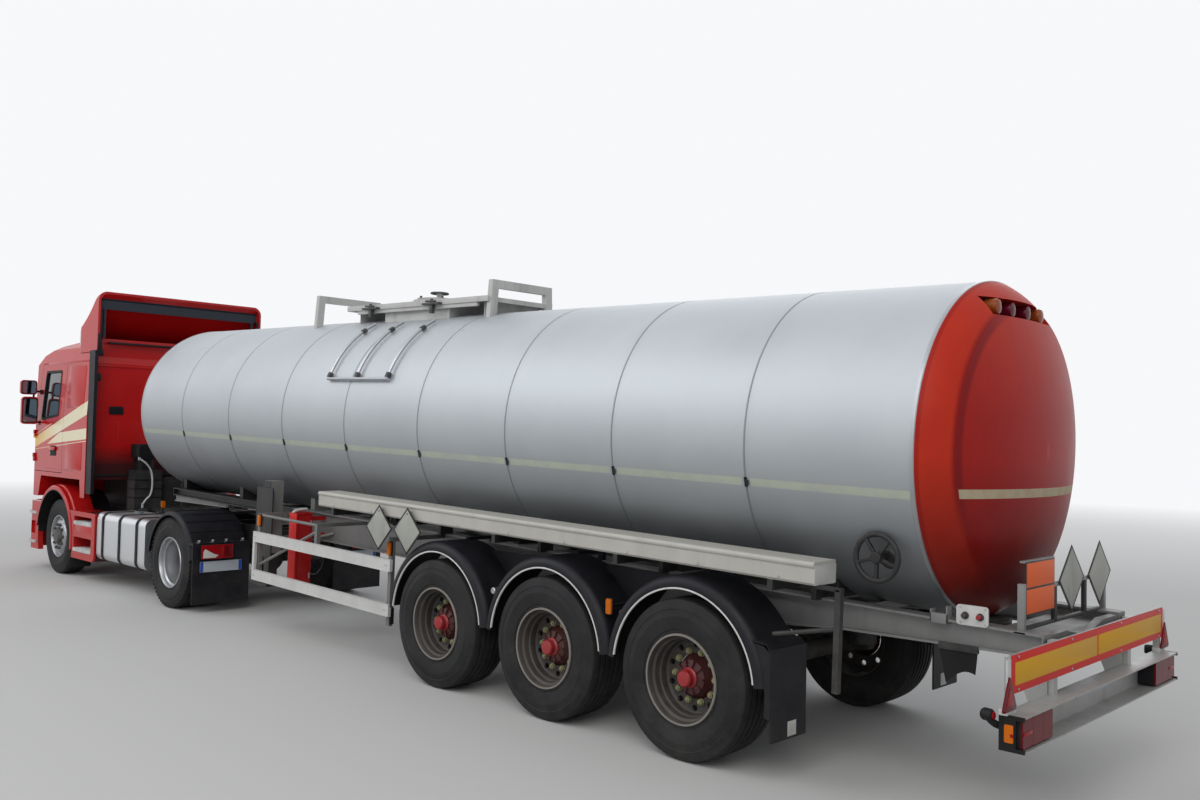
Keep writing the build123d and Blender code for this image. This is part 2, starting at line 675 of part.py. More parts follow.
def side_guard():
    plank_y = (SIDE_Y - 30 - GUARD_T, SIDE_Y - 30)
    guard = None
    for z in (GUARD_LOW_Z, GUARD_HIGH_Z):
        plank = block(GUARD_X, plank_y, (z, z + GUARD_H))
        guard = plank if guard is None else guard + plank
    guard += block((GUARD_X[1] - 40, GUARD_X[1]), plank_y, (GUARD_LOW_Z, GUARD_HIGH_Z + GUARD_H))
    for x, low in GUARD_POSTS:
        post_x = (x - GUARD_POST_HALF, x + GUARD_POST_HALF)
        guard += block(post_x, GUARD_POST_Y, (low, GUARD_ARM_Z[1]))
        guard += block(post_x, (BEAM_Y, GUARD_POST_Y[1]), GUARD_ARM_Z)
        for z in (GUARD_LOW_Z, GUARD_HIGH_Z):
            if z + GUARD_H > low:
                spacer_z = (max(z, low) + 10, z + GUARD_H - 10)
                guard += block(post_x, (GUARD_POST_Y[0], plank_y[0] + 1), spacer_z)
    stay_y = sum(GUARD_POST_Y) / 2
    (middle_x, _), (front_x, _) = GUARD_POSTS[1:]
    guard += rod((middle_x, stay_y, GUARD_ARM_Z[0] + 15), (front_x, stay_y, GUARD_ARM_Z[0] + 15), STAY_R)
    guard += rod((middle_x, stay_y, GUARD_ARM_Z[0] - 40), (front_x, stay_y, GUARD_LOW_Z + 150), STAY_R)
    return guard - frame_level


add("side_guards", both(side_guard()), True)

# Landing legs: outer and inner tube, foot, cross tube, braces and the mud plate in front
LEG_PLATE_L = (-145, 190)
LEG_BRACE_R = 14


def landing_leg():
    leg_x = (LEG_X - LEG_W / 2, LEG_X + LEG_W / 2)
    leg = block(leg_x, (LEG_Y - LEG_W / 2, LEG_Y + LEG_W / 2), (640, 1400))
    leg += block((LEG_X - 50, LEG_X + 50), (LEG_Y - 50, LEG_Y + 50), (330, 660))
    leg += block((LEG_X - 130, LEG_X + 130), (LEG_Y - 110, LEG_Y + 110), (300, 330))
    leg += block((LEG_X - 40, LEG_X + 40), (BEAM_Y, LEG_Y), (930, 1010))
    plate_x = (LEG_X + LEG_PLATE_L[0], LEG_X + LEG_PLATE_L[1])
    leg += block(plate_x, (LEG_Y + LEG_W / 2, LEG_Y + LEG_W / 2 + 12), (600, 1330))
    leg += rod((LEG_X - 20, LEG_Y, 700), (LEG_X - 700, BEAM_Y + 10, BEAM_TOP_Z - 200), LEG_BRACE_R)
    return leg


legs_left = landing_leg()
legs = legs_left + mirrored(legs_left) + cross_cylinder(32, (-LEG_Y, LEG_Y), LEG_X, 780)
add("landing_legs", legs - frame_level - barrel_around(4, (0, 9500)), True)

CABINET_X = (5370, 5520)
CABINET_Y = (780, 960)
CABINET_Z = (370, 1105)
CABINET_DOOR_IN = 8
CABINET_ARM_H = 40
cabinet = block(CABINET_X, CABINET_Y, CABINET_Z)
lid_y = (CABINET_Y[0] + 18, CABINET_Y[1] - 18)
lid_z = (CABINET_Z[0] + 18, CABINET_Z[1] - 18)
cabinet -= block((CABINET_X[0] - 1, CABINET_X[0] + CABINET_DOOR_IN), lid_y, lid_z)
leaf_y = (lid_y[0] + 5, lid_y[1] - 5)
cabinet += block((CABINET_X[0] - 4, CABINET_X[0] + CABINET_DOOR_IN + 2), leaf_y, (lid_z[0] + 5, lid_z[1] - 5))
for z in (BEAM_TOP_Z - BEAM_MID_H + 40, BEAM_TOP_Z - 80):
    arm_x = (CABINET_X[0] + 40, CABINET_X[1] - 40)
    cabinet += block(arm_x, (BEAM_Y + WEB_T / 2 + SEAT_GAP, CABINET_Y[0] + 4), (z, z + CABINET_ARM_H))
add("tool_cabinet", cabinet - legs, True)


# Rear end: bumper channel and marker board on arms from the beams
ARM_TOP_Z = BEAM_TOP_Z - BEAM_REAR_H - 45


def rear_bumper():
    x0, x1 = BUMPER_X
    z0, z1 = BUMPER_Z
    sheet = 8
    bumper = block(BUMPER_X, (-SIDE_Y, SIDE_Y), BUMPER_Z)
    bumper -= block((x0 - 1, x1 - sheet), (-SIDE_Y - 1, SIDE_Y + 1), (z0 + sheet, z1 - sheet))
    bumper += block((BOARD_X - 6, BOARD_X + 6), (-1220, 1220), BOARD_Z)
    for y in (-BEAM_Y, BEAM_Y):
        bumper += block((BOARD_X + 6, x1), (y - 30, y + 30), (z1 - 20, BOARD_Z[1]))
        arm = [
            (x1 - 4, z0 + 20), (x1 + 60, z0 + 20), (x1 + 180, ARM_TOP_Z - 60), (x1 + 180, ARM_TOP_Z),
            (x1 - 4, ARM_TOP_Z),
        ]
        bumper += side_prism(arm, (y - 40, y + 40))
    for y in (-1180, 1180):
        bumper += block((BOARD_X - 2, x1), (y - 8, y + 8), (z1 - 4, BOARD_Z[1] - 20))
    return bumper - frame_world


add("rear_bumper", rear_bumper())

LAMP_SHEET = 8 + SEAT_GAP
lamp_x = (BUMPER_X[0] + 12, BUMPER_X[1] - LAMP_SHEET)
lamp_z = (BUMPER_Z[0] + LAMP_SHEET, BUMPER_Z[1] - LAMP_SHEET)
rear_lamp = block(lamp_x, (830, SIDE_Y - 15), lamp_z)
pod_x = (POD_BACK_X - POD_LAMP_DEEP, POD_BACK_X - SEAT_GAP)
pod_lamps = [tipped(long_cylinder(POD_LAMP_R, pod_x, y, sum(POD_Z) / 2)) for y in POD_LAMP_Y]
add("trailer_lamps", both(rear_lamp) + pod_lamps)

# Outlet elbow with its flange under the rear dome, and the valve's handwheel
OUTLET_R = 60
OUTLET_BORE_R = 52
OUTLET_FLANGE_R = 110
OUTLET_FLANGE_T = 20
OUTLET_X = -1540
OUTLET_Z = (830, 1240)
OUTLET_BORE_DEEP = 165
OUTLET_PCD = 180
OUTLET_HOLE_R = 9
OUTLET_HOLES = 8
HANDWHEEL = (-1205, 945, 1441)
HANDWHEEL_R = 150
HANDWHEEL_RIM_R = 13
HANDWHEEL_SPOKES = 5


def outlet():
    low = OUTLET_Z[0]
    pipe = post(OUTLET_R, OUTLET_Z, OUTLET_X, 0) + post(OUTLET_R + 25, (940, OUTLET_Z[1]), OUTLET_X, 0)
    pipe += post(OUTLET_FLANGE_R, (low, low + OUTLET_FLANGE_T), OUTLET_X, 0)
    pipe -= post(OUTLET_BORE_R, (low - 1, low + OUTLET_BORE_DEEP), OUTLET_X, 0)
    for n in range(OUTLET_HOLES):
        x, y = around(OUTLET_X, 0, OUTLET_PCD / 2, 360 / OUTLET_HOLES * (n + 0.5))
        pipe -= post(OUTLET_HOLE_R, (low - 1, low + OUTLET_FLANGE_T + 1), x, y)
    dome_cutter = tipped(dome())
    return pipe - tank_world - dome_cutter


def handwheel():
    x, y, z = HANDWHEEL
    middle_r = HANDWHEEL_R - HANDWHEEL_RIM_R
    wheel = Pos(x, y, z) * Rot(90, 0, 0) * Torus(middle_r, HANDWHEEL_RIM_R)
    for n in range(HANDWHEEL_SPOKES):
        spoke = Pos(middle_r / 2, 0, 0) * Box(middle_r, 14, 22)
        wheel += Pos(x, y, z) * Rot(0, 90 + 360 / HANDWHEEL_SPOKES * n, 0) * spoke
    wheel += cross_cylinder(22, (700, y + 15), x, z)
    return tipped(wheel - barrel_around(SEAT_GAP, (-3000, 0)))


add("outlet_gear", [outlet(), handwheel()])

# Tractor chassis
DUCT_X = (CAB_REAR_X - 365, CAB_REAR_X - 125)
CATWALK_X = (DRIVE_AXLE_X + 1179, DUCT_X[0] - 5)
TRACTOR_CROSS_X = (
    RAIL_X[0] + 30, DRIVE_AXLE_X - 421, DRIVE_AXLE_X + 879, FRONT_AXLE_X - 1295, RAIL_X[1] - 40,
)
HORN_X = (RAIL_X[1] - 120, TILT_X + 26)


def tractor_frame():
    """Channel rails with cross members, catwalk, intake stack and the cab's pivot horns."""
    x0, x1 = RAIL_X
    z = (RAIL_TOP_Z - RAIL_H, RAIL_TOP_Z)
    rail = block(RAIL_X, (RAIL_Y - RAIL_W / 2, RAIL_OUT_Y), z)
    channel_y = (RAIL_Y - RAIL_W / 2 - 1, RAIL_OUT_Y - RAIL_T)
    rail -= block((x0 - 1, x1 + 1), channel_y, (z[0] + RAIL_T, z[1] - RAIL_T))
    frame = rail + mirrored(rail)
    inner = RAIL_OUT_Y - RAIL_T / 2
    for x in TRACTOR_CROSS_X:
        frame += block((x - 30, x + 30), (-inner, inner), (z[0] + 50, z[1] - 50))
    frame += block(CATWALK_X, (-470, 470), (RAIL_TOP_Z - 1, RAIL_TOP_Z + 40))
    for n in range(7):
        slot_y = -420 + 140 * n
        slot_x = (CATWALK_X[0] + 60, CATWALK_X[1] - 60)
        frame -= block(slot_x, (slot_y - 40, slot_y + 40), (RAIL_TOP_Z + 6, RAIL_TOP_Z + 41))
    frame += block(DUCT_X, (200, 700), (RAIL_TOP_Z - 5, RAIL_TOP_Z + 60))
    frame += block(DUCT_X, (330, 700), (RAIL_TOP_Z + 50, 1500))
    frame += block((DUCT_X[0] + 20, DUCT_X[1] - 20), (440, 640), (1490, 1840))
    return frame


def pivot_horn():
    """An arm from the rail's front end to the cab's tilt pin."""
    outline = [
        (HORN_X[0], RAIL_TOP_Z - 130), (RAIL_X[1], RAIL_TOP_Z - 130), (HORN_X[1] - 40, TILT_Z - 60),
        (HORN_X[1], TILT_Z - 24), (HORN_X[1] - 10, TILT_Z + 22), (TILT_X - 20, TILT_Z + 22),
        (RAIL_X[1] - 60, RAIL_TOP_Z - 12), (HORN_X[0], RAIL_TOP_Z - 12),
    ]
    horn = side_prism(outline, (RAIL_OUT_Y - 1, TILT_Y[0]))
    return horn - cross_cylinder(TILT_PIN_R + SEAT_GAP, (300, 600), TILT_X, TILT_Z)


horn_left = pivot_horn()
frame_solid = tractor_frame() + horn_left + mirrored(horn_left)
add("tractor_frame", frame_solid)


def fifth_wheel():
    """The coupling plate with its open throat, on two feet and their bearers."""
    plate_t = 38
    # Columns: place along X from the kingpin and half width
    half = ((330, 300), (200, 430), (-330, 430), (-560, 200), (-560, 160), (-60, 45))
    outline = [(KINGPIN_X + x, y) for x, y in half] + [(KINGPIN_X + x, -y) for x, y in reversed(half)]
    plate = plan_prism(outline, (COUPLING_Z - plate_t, COUPLING_Z))
    plate -= post(KINGPIN_R + 0.8, (COUPLING_Z - 60, COUPLING_Z + 5), KINGPIN_X, 0)
    plate -= post(KINGPIN_R + 16, (COUPLING_Z - 120, COUPLING_Z - plate_t), KINGPIN_X, 0)
    ear = [
        (KINGPIN_X - 170, RAIL_TOP_Z + 20), (KINGPIN_X + 170, RAIL_TOP_Z + 20),
        (KINGPIN_X + 60, COUPLING_Z - plate_t + 5), (KINGPIN_X - 60, COUPLING_Z - plate_t + 5),
    ]
    for side in (-1, 1):
        plate += side_prism(ear, (side * 330 - 55, side * 330 + 55))
        bearer_y = (side * RAIL_Y - 90, side * RAIL_Y + 90)
        plate += block((KINGPIN_X - 300, KINGPIN_X + 300), bearer_y, (RAIL_TOP_Z, RAIL_TOP_Z + 25))
    return plate


add("fifth_wheel", fifth_wheel())

# Drive axle, front axle, knuckles, tie rod
DIFF_R = 210
DRIVE_AXLE_TUBE_R = 85
DRIVE_BELLOW_R = 115
SPRING_REACH = 480
RAIL_LOW_Z = RAIL_TOP_Z - RAIL_H


def drive_axle():
    reach = twin_in - SEAT_GAP
    shape = cross_cylinder(DRIVE_AXLE_TUBE_R, (-reach, reach), DRIVE_AXLE_X, TYRE_R)
    shape += Pos(DRIVE_AXLE_X, 0, TYRE_R) * Sphere(DIFF_R)
    # Columns: place along X and height, both from the axle's centre
    spring = (
        (-SPRING_REACH, -30), (-SPRING_REACH, 10), (0, 60), (SPRING_REACH, 10), (SPRING_REACH, -30), (0, 10),
    )
    outline = [(DRIVE_AXLE_X + x, TYRE_R + z) for x, z in spring]
    for y in (-RAIL_Y, RAIL_Y):
        shape += side_prism(outline, (y - 40, y + 40))
        for x in (DRIVE_AXLE_X - 430, DRIVE_AXLE_X + 430):
            shape += post(DRIVE_BELLOW_R, (TYRE_R - 10, RAIL_LOW_Z - SEAT_GAP), x, y)
    return shape


KINGPIN_EYE_R = 42
STEER_PIN_R = 20
EYE_HALF_H = 52
LEAF_REACH = 800


def front_axle():
    z = TYRE_R
    reach = KNUCKLE_Y - KINGPIN_EYE_R + 12
    half_line = [
        (540, z - 150), (640, z - 45), (reach, z - 45), (reach, z + 45), (620, z + 45), (520, z - 60),
    ]
    outline = half_line + [(-y, height) for y, height in reversed(half_line)]
    shape = end_prism(outline, (FRONT_AXLE_X - 50, FRONT_AXLE_X + 50))
    # Columns: place along X and height, both from the axle's centre
    half_leaf = ((LEAF_REACH, 110), (LEAF_REACH, 90), (100, -65))
    leaf = [(-100, -10), (100, -10)] + list(half_leaf) + [(-x, dz) for x, dz in reversed(half_leaf)]
    leaf_outline = [(FRONT_AXLE_X + x, z + dz) for x, dz in leaf]
    for side in (-1, 1):
        y = side * RAIL_Y
        shape += side_prism(leaf_outline, (y - 38, y + 38))
        for x in (FRONT_AXLE_X - LEAF_REACH + 30, FRONT_AXLE_X + LEAF_REACH - 30):
            shape += block((x - 40, x + 40), (y - 30, y + 30), (z + 85, RAIL_LOW_Z - SEAT_GAP))
        eye_z = (z - EYE_HALF_H, z + EYE_HALF_H)
        shape += post(KINGPIN_EYE_R, eye_z, FRONT_AXLE_X, side * KNUCKLE_Y)
        shape -= post(STEER_PIN_R + SEAT_GAP, (z - 70, z + 70), FRONT_AXLE_X, side * KNUCKLE_Y)
    return shape


add("tractor_axles", [drive_axle(), front_axle()])

HUB_R = 105
ARM_X = FRONT_AXLE_X - 260
ARM_Y = KNUCKLE_Y - 110
EAR_R = 48
EAR_NEAR = EYE_HALF_H + 6
EAR_FAR = 115
ARM_T = 24
FORK_Y = KNUCKLE_Y + KINGPIN_EYE_R + 8
TIE_R = 18
TIE_DROP = 40


def knuckle():
    hub_out = FRONT_TRACK_HALF - FRONT_TYRE_W / 2 + RIM_SET_IN - SEAT_GAP
    shape = cross_cylinder(HUB_R, (FORK_Y, hub_out), FRONT_AXLE_X, TYRE_R)
    for low, high in ((-EAR_FAR, -EAR_NEAR), (EAR_NEAR, EAR_FAR)):
        ear_z = (TYRE_R + low, TYRE_R + high)
        shape += post(EAR_R, ear_z, FRONT_AXLE_X, KNUCKLE_Y)
        shape += block((FRONT_AXLE_X - EAR_R, FRONT_AXLE_X + EAR_R), (KNUCKLE_Y, FORK_Y + 12), ear_z)
    arm = [
        (ARM_X - 30, ARM_Y - 30), (ARM_X - 30, ARM_Y + 30),
        (FRONT_AXLE_X, KNUCKLE_Y + EAR_R), (FRONT_AXLE_X, KNUCKLE_Y - EAR_R),
    ]
    shape += plan_prism(arm, (TYRE_R - EAR_FAR, TYRE_R - EAR_FAR + ARM_T))
    return shape + post(STEER_PIN_R, (TYRE_R - EAR_FAR + 5, TYRE_R + EAR_FAR - 5), FRONT_AXLE_X, KNUCKLE_Y)


knuckle_left = knuckle()
add("knuckle_left", knuckle_left)
add("knuckle_right", mirrored(knuckle_left))
tie_z = TYRE_R - EAR_FAR - TIE_DROP + ARM_T / 2
tie = cross_cylinder(TIE_R, (-ARM_Y, ARM_Y), ARM_X, tie_z)
for side in (-1, 1):
    tie += post(TIE_R - 2, (tie_z - 10, TYRE_R - EAR_FAR - SEAT_GAP), ARM_X, side * ARM_Y)
add("tie_rod", tie)

# Engine and gearbox as one plain mass, on the rails, with the shaft to the drive axle
ENGINE_X = (FRONT_AXLE_X - 445, FRONT_AXLE_X + 625)
ENGINE_Z = (620, CAB_FLOOR_Z - 40)
GEARBOX_X = (FRONT_AXLE_X - 1145, ENGINE_X[0] + 10)
SHAFT_R = 60
shaft_x = (DRIVE_AXLE_X + DIFF_R - 20, GEARBOX_X[0] + 20)
engine = block(ENGINE_X, (-330, 330), ENGINE_Z)
engine += block(GEARBOX_X, (-200, 200), (560, 900))
engine += long_cylinder(SHAFT_R, shaft_x, 0, 650)
engine += block((ENGINE_X[1] - 220, ENGINE_X[1] - 120), (-RAIL_Y - 10, RAIL_Y + 10), (800, 850))
add("powertrain", engine - frame_solid - drive_axle())

# Fuel tanks: rounded boxes with raised straps on brackets
STRAP_X = tuple(FUEL_X[0] + (FUEL_X[1] - FUEL_X[0]) * share for share in (0.165, 0.513, 0.868))
STRAP_W = 44
STRAP_T = 5


def fuel_section(grow):
    size = (FUEL_Y[1] - FUEL_Y[0] + 2 * grow, FUEL_Z[1] - FUEL_Z[0] + 2 * grow)
    return Pos(sum(FUEL_Y) / 2, sum(FUEL_Z) / 2) * RectangleRounded(*size, FUEL_CORNER_R + grow)


def fuel_tank():
    tank_body = end_prism(Sketch() + fuel_section(0), FUEL_X)
    for x in STRAP_X:
        tank_body += end_prism(Sketch() + fuel_section(STRAP_T), (x - STRAP_W / 2, x + STRAP_W / 2))
        tank_body += block((x - 30, x + 30), (RAIL_OUT_Y + SEAT_GAP, FUEL_Y[0] + 60), (700, 800))
    return tank_body


add("fuel_tanks", both(fuel_tank()))

# Drive mudguards: ribbed arches with a rolled outer edge and a flap
GUARD_Y = (560, 1245)
RIB_STEP_DEG = 15
MUDGUARD_LIP_R = MUDGUARD_R - 45


def drive_mudguard():
    out_r = MUDGUARD_R + MUDGUARD_T
    profile = rolled_lip(MUDGUARD_LIP_R, MUDGUARD_R, MUDGUARD_T, GUARD_Y[1] - 3, GUARD_Y[0])
    guard = arch(profile, DRIVE_AXLE_X, TYRE_R, 8, 172)
    rib_y = (GUARD_Y[0], GUARD_Y[1] - 48)
    rib = Pos(out_r + 2, sum(rib_y) / 2, 0) * Box(8, rib_y[1] - rib_y[0], 14)
    for deg in range(20, 171, RIB_STEP_DEG):
        guard += Pos(DRIVE_AXLE_X, 0, TYRE_R) * Rot(0, -deg, 0) * rib
    flap_y = (GUARD_Y[0], GUARD_Y[1] - 5)
    guard += block((FLAP_X, FLAP_X + FLAP_T), flap_y, (110, 800))
    guard += block((FLAP_X, FLAP_X + 115), flap_y, (770, 800))
    stay_x = (DRIVE_AXLE_X - 25, DRIVE_AXLE_X + 25)
    guard += block(stay_x, (RAIL_OUT_Y + SEAT_GAP, GUARD_Y[0] + 20), (RAIL_TOP_Z - 60, RAIL_TOP_Z - 10))
    guard += block(stay_x, (GUARD_Y[0], GUARD_Y[0] + 20), (RAIL_TOP_Z - 60, TYRE_R + MUDGUARD_R + 4))
    return guard


add("drive_mudguards", both(drive_mudguard()))

# Front arches: stepped flares over the wheels, with the step boxes behind them
# Columns: radius beyond the arch's opening, and depth in from the flare's outer face
FLARE = (
    (0, 14), (0, 0), (45, 0), (62, 12), (62, 60), (80, 78), (80, 320), (70, 320), (70, 86), (50, 68),
    (50, 18), (42, 14),
)
FLARE_Y = CAB_HALF_W + 30
TREAD_Z = (STEP_Z[0] + 90, STEP_Z[0] + 370)
TREAD_OPEN_H = 200


def front_arch():
    section = [(ARCH_R + out, FLARE_Y - deep) for out, deep in FLARE]
    flare = arch(section, FRONT_AXLE_X, TYRE_R, 12, 190)
    rear, front = STEP_X
    outline = [
        (rear, STEP_Z[0] + 50), (rear + 50, STEP_Z[0]), (front - 20, STEP_Z[0]),
        (front + 60, 600), (front + 160, STEP_Z[1]), (rear, STEP_Z[1]),
    ]
    step = side_prism(outline, STEP_Y)
    step -= cross_cylinder(ARCH_OUT_R - 6, (0, 2000), FRONT_AXLE_X, TYRE_R)
    for z in TREAD_Z:
        step -= block((rear + 110, front - 130), (STEP_Y[0] + 60, STEP_Y[1] + 1), (z, z + TREAD_OPEN_H))
    hollow_x = (rear + 40, front - 160)
    step -= block(hollow_x, (STEP_Y[0] - 1, STEP_Y[0] + 45), (STEP_Z[0] + 40, STEP_Z[1] - 40))
    for x in (rear + 150, front - 200):
        step += block((x - 30, x + 30), (RAIL_OUT_Y + SEAT_GAP, STEP_Y[0] + 62), (760, 850))
    return flare + step


add("front_arches", both(front_arch()))


# Cab body: one outline in plan, one from the side and one from the end, cut into each other
def cab_plan(inset):
    half = CAB_HALF_W - inset
    front = CAB_FRONT_X - inset
    rear = CAB_REAR_X + inset
    side_x = CAB_FRONT_X - 485
    corner_x = CAB_FRONT_X - CAB_BOW - inset
    return make_face([
        Line((rear, -half), (side_x, -half)),
        ThreePointArc((side_x, -half), (side_x + 170, -half + 45), (corner_x, -half + 150)),
        ThreePointArc((corner_x, -half + 150), (front, 0), (corner_x, half - 150)),
        ThreePointArc((corner_x, half - 150), (side_x + 170, half - 45), (side_x, half)),
        Line((side_x, half), (rear, half)),
        Line((rear, half), (rear, -half)),
    ])


def cab_side(inset):
    i = inset
    rear = CAB_REAR_X + i
    front = CAB_FRONT_X - i
    arch_x = FRONT_AXLE_X + 655 + i
    return [
        (rear, CAB_FLOOR_Z + i), (arch_x, CAB_FLOOR_Z + i), (arch_x + 100, CAB_LOW_Z + i),
        (front - 65, CAB_LOW_Z + i), (front + 5, CAB_LOW_Z + 90), (front + 5, 1980),
        (front - 305, 2960), (front - 535, 3110), (CAB_FRONT_X - 1065, 3230 - i),
        (FRONT_AXLE_X - 495, CAB_ROOF_Z - i), (rear + 40, CAB_ROOF_Z - i), (rear + 40, 3040), (rear, 2950),
    ]


def cab_section(inset):
    half = CAB_HALF_W - inset
    top = CAB_ROOF_Z - inset
    right = [(half, 900), (half, 2250), (half - 40, 3000), (half - 78, 3180), (half - 190, top)]
    return right + [(-y, z) for y, z in reversed(right)]


def cab_body(inset):
    body = plan_prism(Sketch() + cab_plan(inset), (900, 3500))
    body &= side_prism(cab_side(inset), (-CAB_HALF_W - 100, CAB_HALF_W + 100))
    return body & end_prism(cab_section(inset), (CAB_REAR_X - 500, CAB_FRONT_X + 500))


cab_outer = cab_body(0)
cab_inner = cab_body(CAB_WALL)
glass_layer = cab_body(GLASS_IN) - cab_body(GLASS_IN + GLASS_T)
cab_skin = cab_outer - cab_inner
door_depth = (CAB_HALF_W - 220, CAB_HALF_W + 180)


def door_prism(gap):
    (x0, x1), (z0, z1) = DOOR_X, DOOR_Z
    outline = [
        (x0 + gap, z0 + gap), (x1 - gap, z0 + gap), (x1 - gap, WINDOW_Z[0] - 100),
        (x1 - 130 - gap, z1 - gap), (x0 + gap, z1 - gap),
    ]
    return side_prism(outline, door_depth)


window_outline = [
    (WINDOW_X[0], WINDOW_Z[0] + 60), (WINDOW_X[1], WINDOW_Z[0]), (WINDOW_X[1] - 60, WINDOW_Z[1]),
    (WINDOW_X[0], WINDOW_Z[1]),
]
window_cut = side_prism(window_outline, door_depth)
door_left = (cab_skin & door_prism(DOOR_GAP)) - window_cut
glass_left = glass_layer & window_cut
WINDSCREEN_HALF_W = 1010
SCREEN_Z = (2060, 2900)
screen_outline = [
    (-WINDSCREEN_HALF_W, SCREEN_Z[0]), (WINDSCREEN_HALF_W, SCREEN_Z[0]),
    (WINDSCREEN_HALF_W - 70, SCREEN_Z[1]), (-WINDSCREEN_HALF_W + 70, SCREEN_Z[1]),
]
screen_cut = end_prism(screen_outline, (CAB_FRONT_X - 565, CAB_FRONT_X + 335))
door_hole = door_prism(0)
cab_shell = cab_skin - door_hole - mirrored(door_hole) - screen_cut
visor_outline = [
    (CAB_FRONT_X - 430, 3020), (CAB_FRONT_X - 165, 2900), (CAB_FRONT_X - 150, 2920),
    (CAB_FRONT_X - 420, 3065),
]
cab_shell += side_prism(visor_outline, (-1050, 1050)) - cab_inner
tail_outline = [
    (CAB_REAR_X, 1120), (CAB_REAR_X + 150, 1120), (CAB_REAR_X + 190, CAB_FLOOR_Z + 5),
    (CAB_REAR_X, CAB_FLOOR_Z + 5),
]
SIDE_TAIL_T = 30
for tail_y in ((CAB_HALF_W - SIDE_TAIL_T, CAB_HALF_W), (-CAB_HALF_W, -CAB_HALF_W + SIDE_TAIL_T)):
    cab_shell += side_prism(tail_outline, tail_y)


def tilt_lug():
    """The cab's half of its tilt hinge: a lug under the floor with a pin into the chassis horn."""
    outline = [
        (TILT_X - 110, CAB_LOW_Z + 5), (TILT_X - 30, TILT_Z - 22), (TILT_X + 18, TILT_Z - 18),
        (TILT_X + 22, TILT_Z + 10), (TILT_X + 10, CAB_LOW_Z + 5),
    ]
    lug = side_prism(outline, (TILT_Y[0] + 6, TILT_Y[1]))
    return lug + cross_cylinder(TILT_PIN_R, (RAIL_OUT_Y + 1, TILT_Y[0] + 10), TILT_X, TILT_Z)


def hinge_leaf(z, reach_x):
    """One hinge barrel with its leaf, which runs from the pin towards reach_x and down to the skin."""
    low, high = min(HINGE_X, reach_x), max(HINGE_X, reach_x)
    leaf = post(HINGE_R, z, HINGE_X, HINGE_Y) + block((low, high), (HINGE_Y - 5, HINGE_Y + 8), z)
    foot_x = (high - 14, high) if reach_x > HINGE_X else (low, low + 14)
    return leaf + block(foot_x, (CAB_HALF_W - 20, HINGE_Y + 8), z)


for lug in both(tilt_lug()):
    cab_shell += lug
for z in HINGE_Z:
    bored = hinge_leaf((z, z + HINGE_H), HINGE_X + 34)
    bored -= post(HINGE_PIN_R + SEAT_GAP, (z - 1, z + HINGE_H + 1), HINGE_X, HINGE_Y)
    cab_shell += bored
    cab_shell += mirrored(bored)
    door_left += hinge_leaf((z - HINGE_H, z - SEAT_GAP), HINGE_X - 34)
    door_left += post(HINGE_PIN_R, (z - HINGE_H, z + HINGE_H), HINGE_X, HINGE_Y)
add("cab_shell", cab_shell)
add("windscreen", glass_layer & screen_cut)
add("door_left", door_left)
add("door_right", mirrored(door_left))
add("door_glass_left", glass_left)
add("door_glass_right", mirrored(glass_left))

# Mirrors: two heads on one arm from the door
MIRROR_X = FRONT_AXLE_X + 805


def mirror_head(y, z, depth):
    section = Sketch() + Pos(sum(y) / 2, sum(z) / 2) * RectangleRounded(y[1] - y[0], z[1] - z[0], 45)
    return end_prism(section, (MIRROR_X - 60, MIRROR_X - 60 + depth))


def mirror_unit():
    arm_x = (MIRROR_X - 30, MIRROR_X + 10)
    arm_y = (CAB_HALF_W - 40, CAB_HALF_W + 110)
    arms = block(arm_x, arm_y, (2560, 2590)) + block(arm_x, arm_y, (2110, 2140))
    spine = block((MIRROR_X - 15, MIRROR_X + 15), (arm_y[1] - 30, arm_y[1]), (2090, 2640))
    main = mirror_head((CAB_HALF_W + 45, CAB_HALF_W + 265), (2100, 2500), 110)
    upper = mirror_head((CAB_HALF_W + 65, CAB_HALF_W + 285), (2530, 2740), 100)
    return arms + spine + main + upper


mirror_left = mirror_unit() - cab_outer
add("mirror_left", mirror_left)
add("mirror_right", mirrored(mirror_left))


# Roof deflector: an open-backed shell with a frame bar and struts behind
def deflector_hull(inset):
    """The deflector's outside, moved in by an inset: hollow from the side, a bullet in plan."""
    rear, front = DEFLECTOR_X[0] - 1, DEFLECTOR_X[1] - inset
    top = DEFLECTOR_TOP_Z - inset
    foot = CAB_ROOF_Z - 190
    nose_z = CAB_ROOF_Z - 40 - inset
    outline = make_face([
        Line((rear, foot), (rear, top)),
        ThreePointArc((rear, top), (CAB_REAR_X + 545, 3410 - inset), (front, nose_z)),
        Line((front, nose_z), (front, foot)),
        Line((front, foot), (rear, foot)),
    ])
    half = DEFLECTOR_HALF_W - inset
    plan = make_face([
        Line((rear, -half), (DEFLECTOR_SIDE_X, -half)),
        ThreePointArc((DEFLECTOR_SIDE_X, -half), (front, 0), (DEFLECTOR_SIDE_X, half)),
        Line((DEFLECTOR_SIDE_X, half), (rear, half)),
        Line((rear, half), (rear, -half)),
    ])
    section = Pos(0, 3000) * RectangleRounded(2 * half, 2 * (top - 3000), DEFLECTOR_CORNER_R - inset / 2)
    hull = side_prism(Sketch() + outline, (-half, half))
    hull &= plan_prism(Sketch() + plan, (foot - 1, top + 1))
    return hull & end_prism(Sketch() + section, (rear - 1, DEFLECTOR_X[1] + 5))


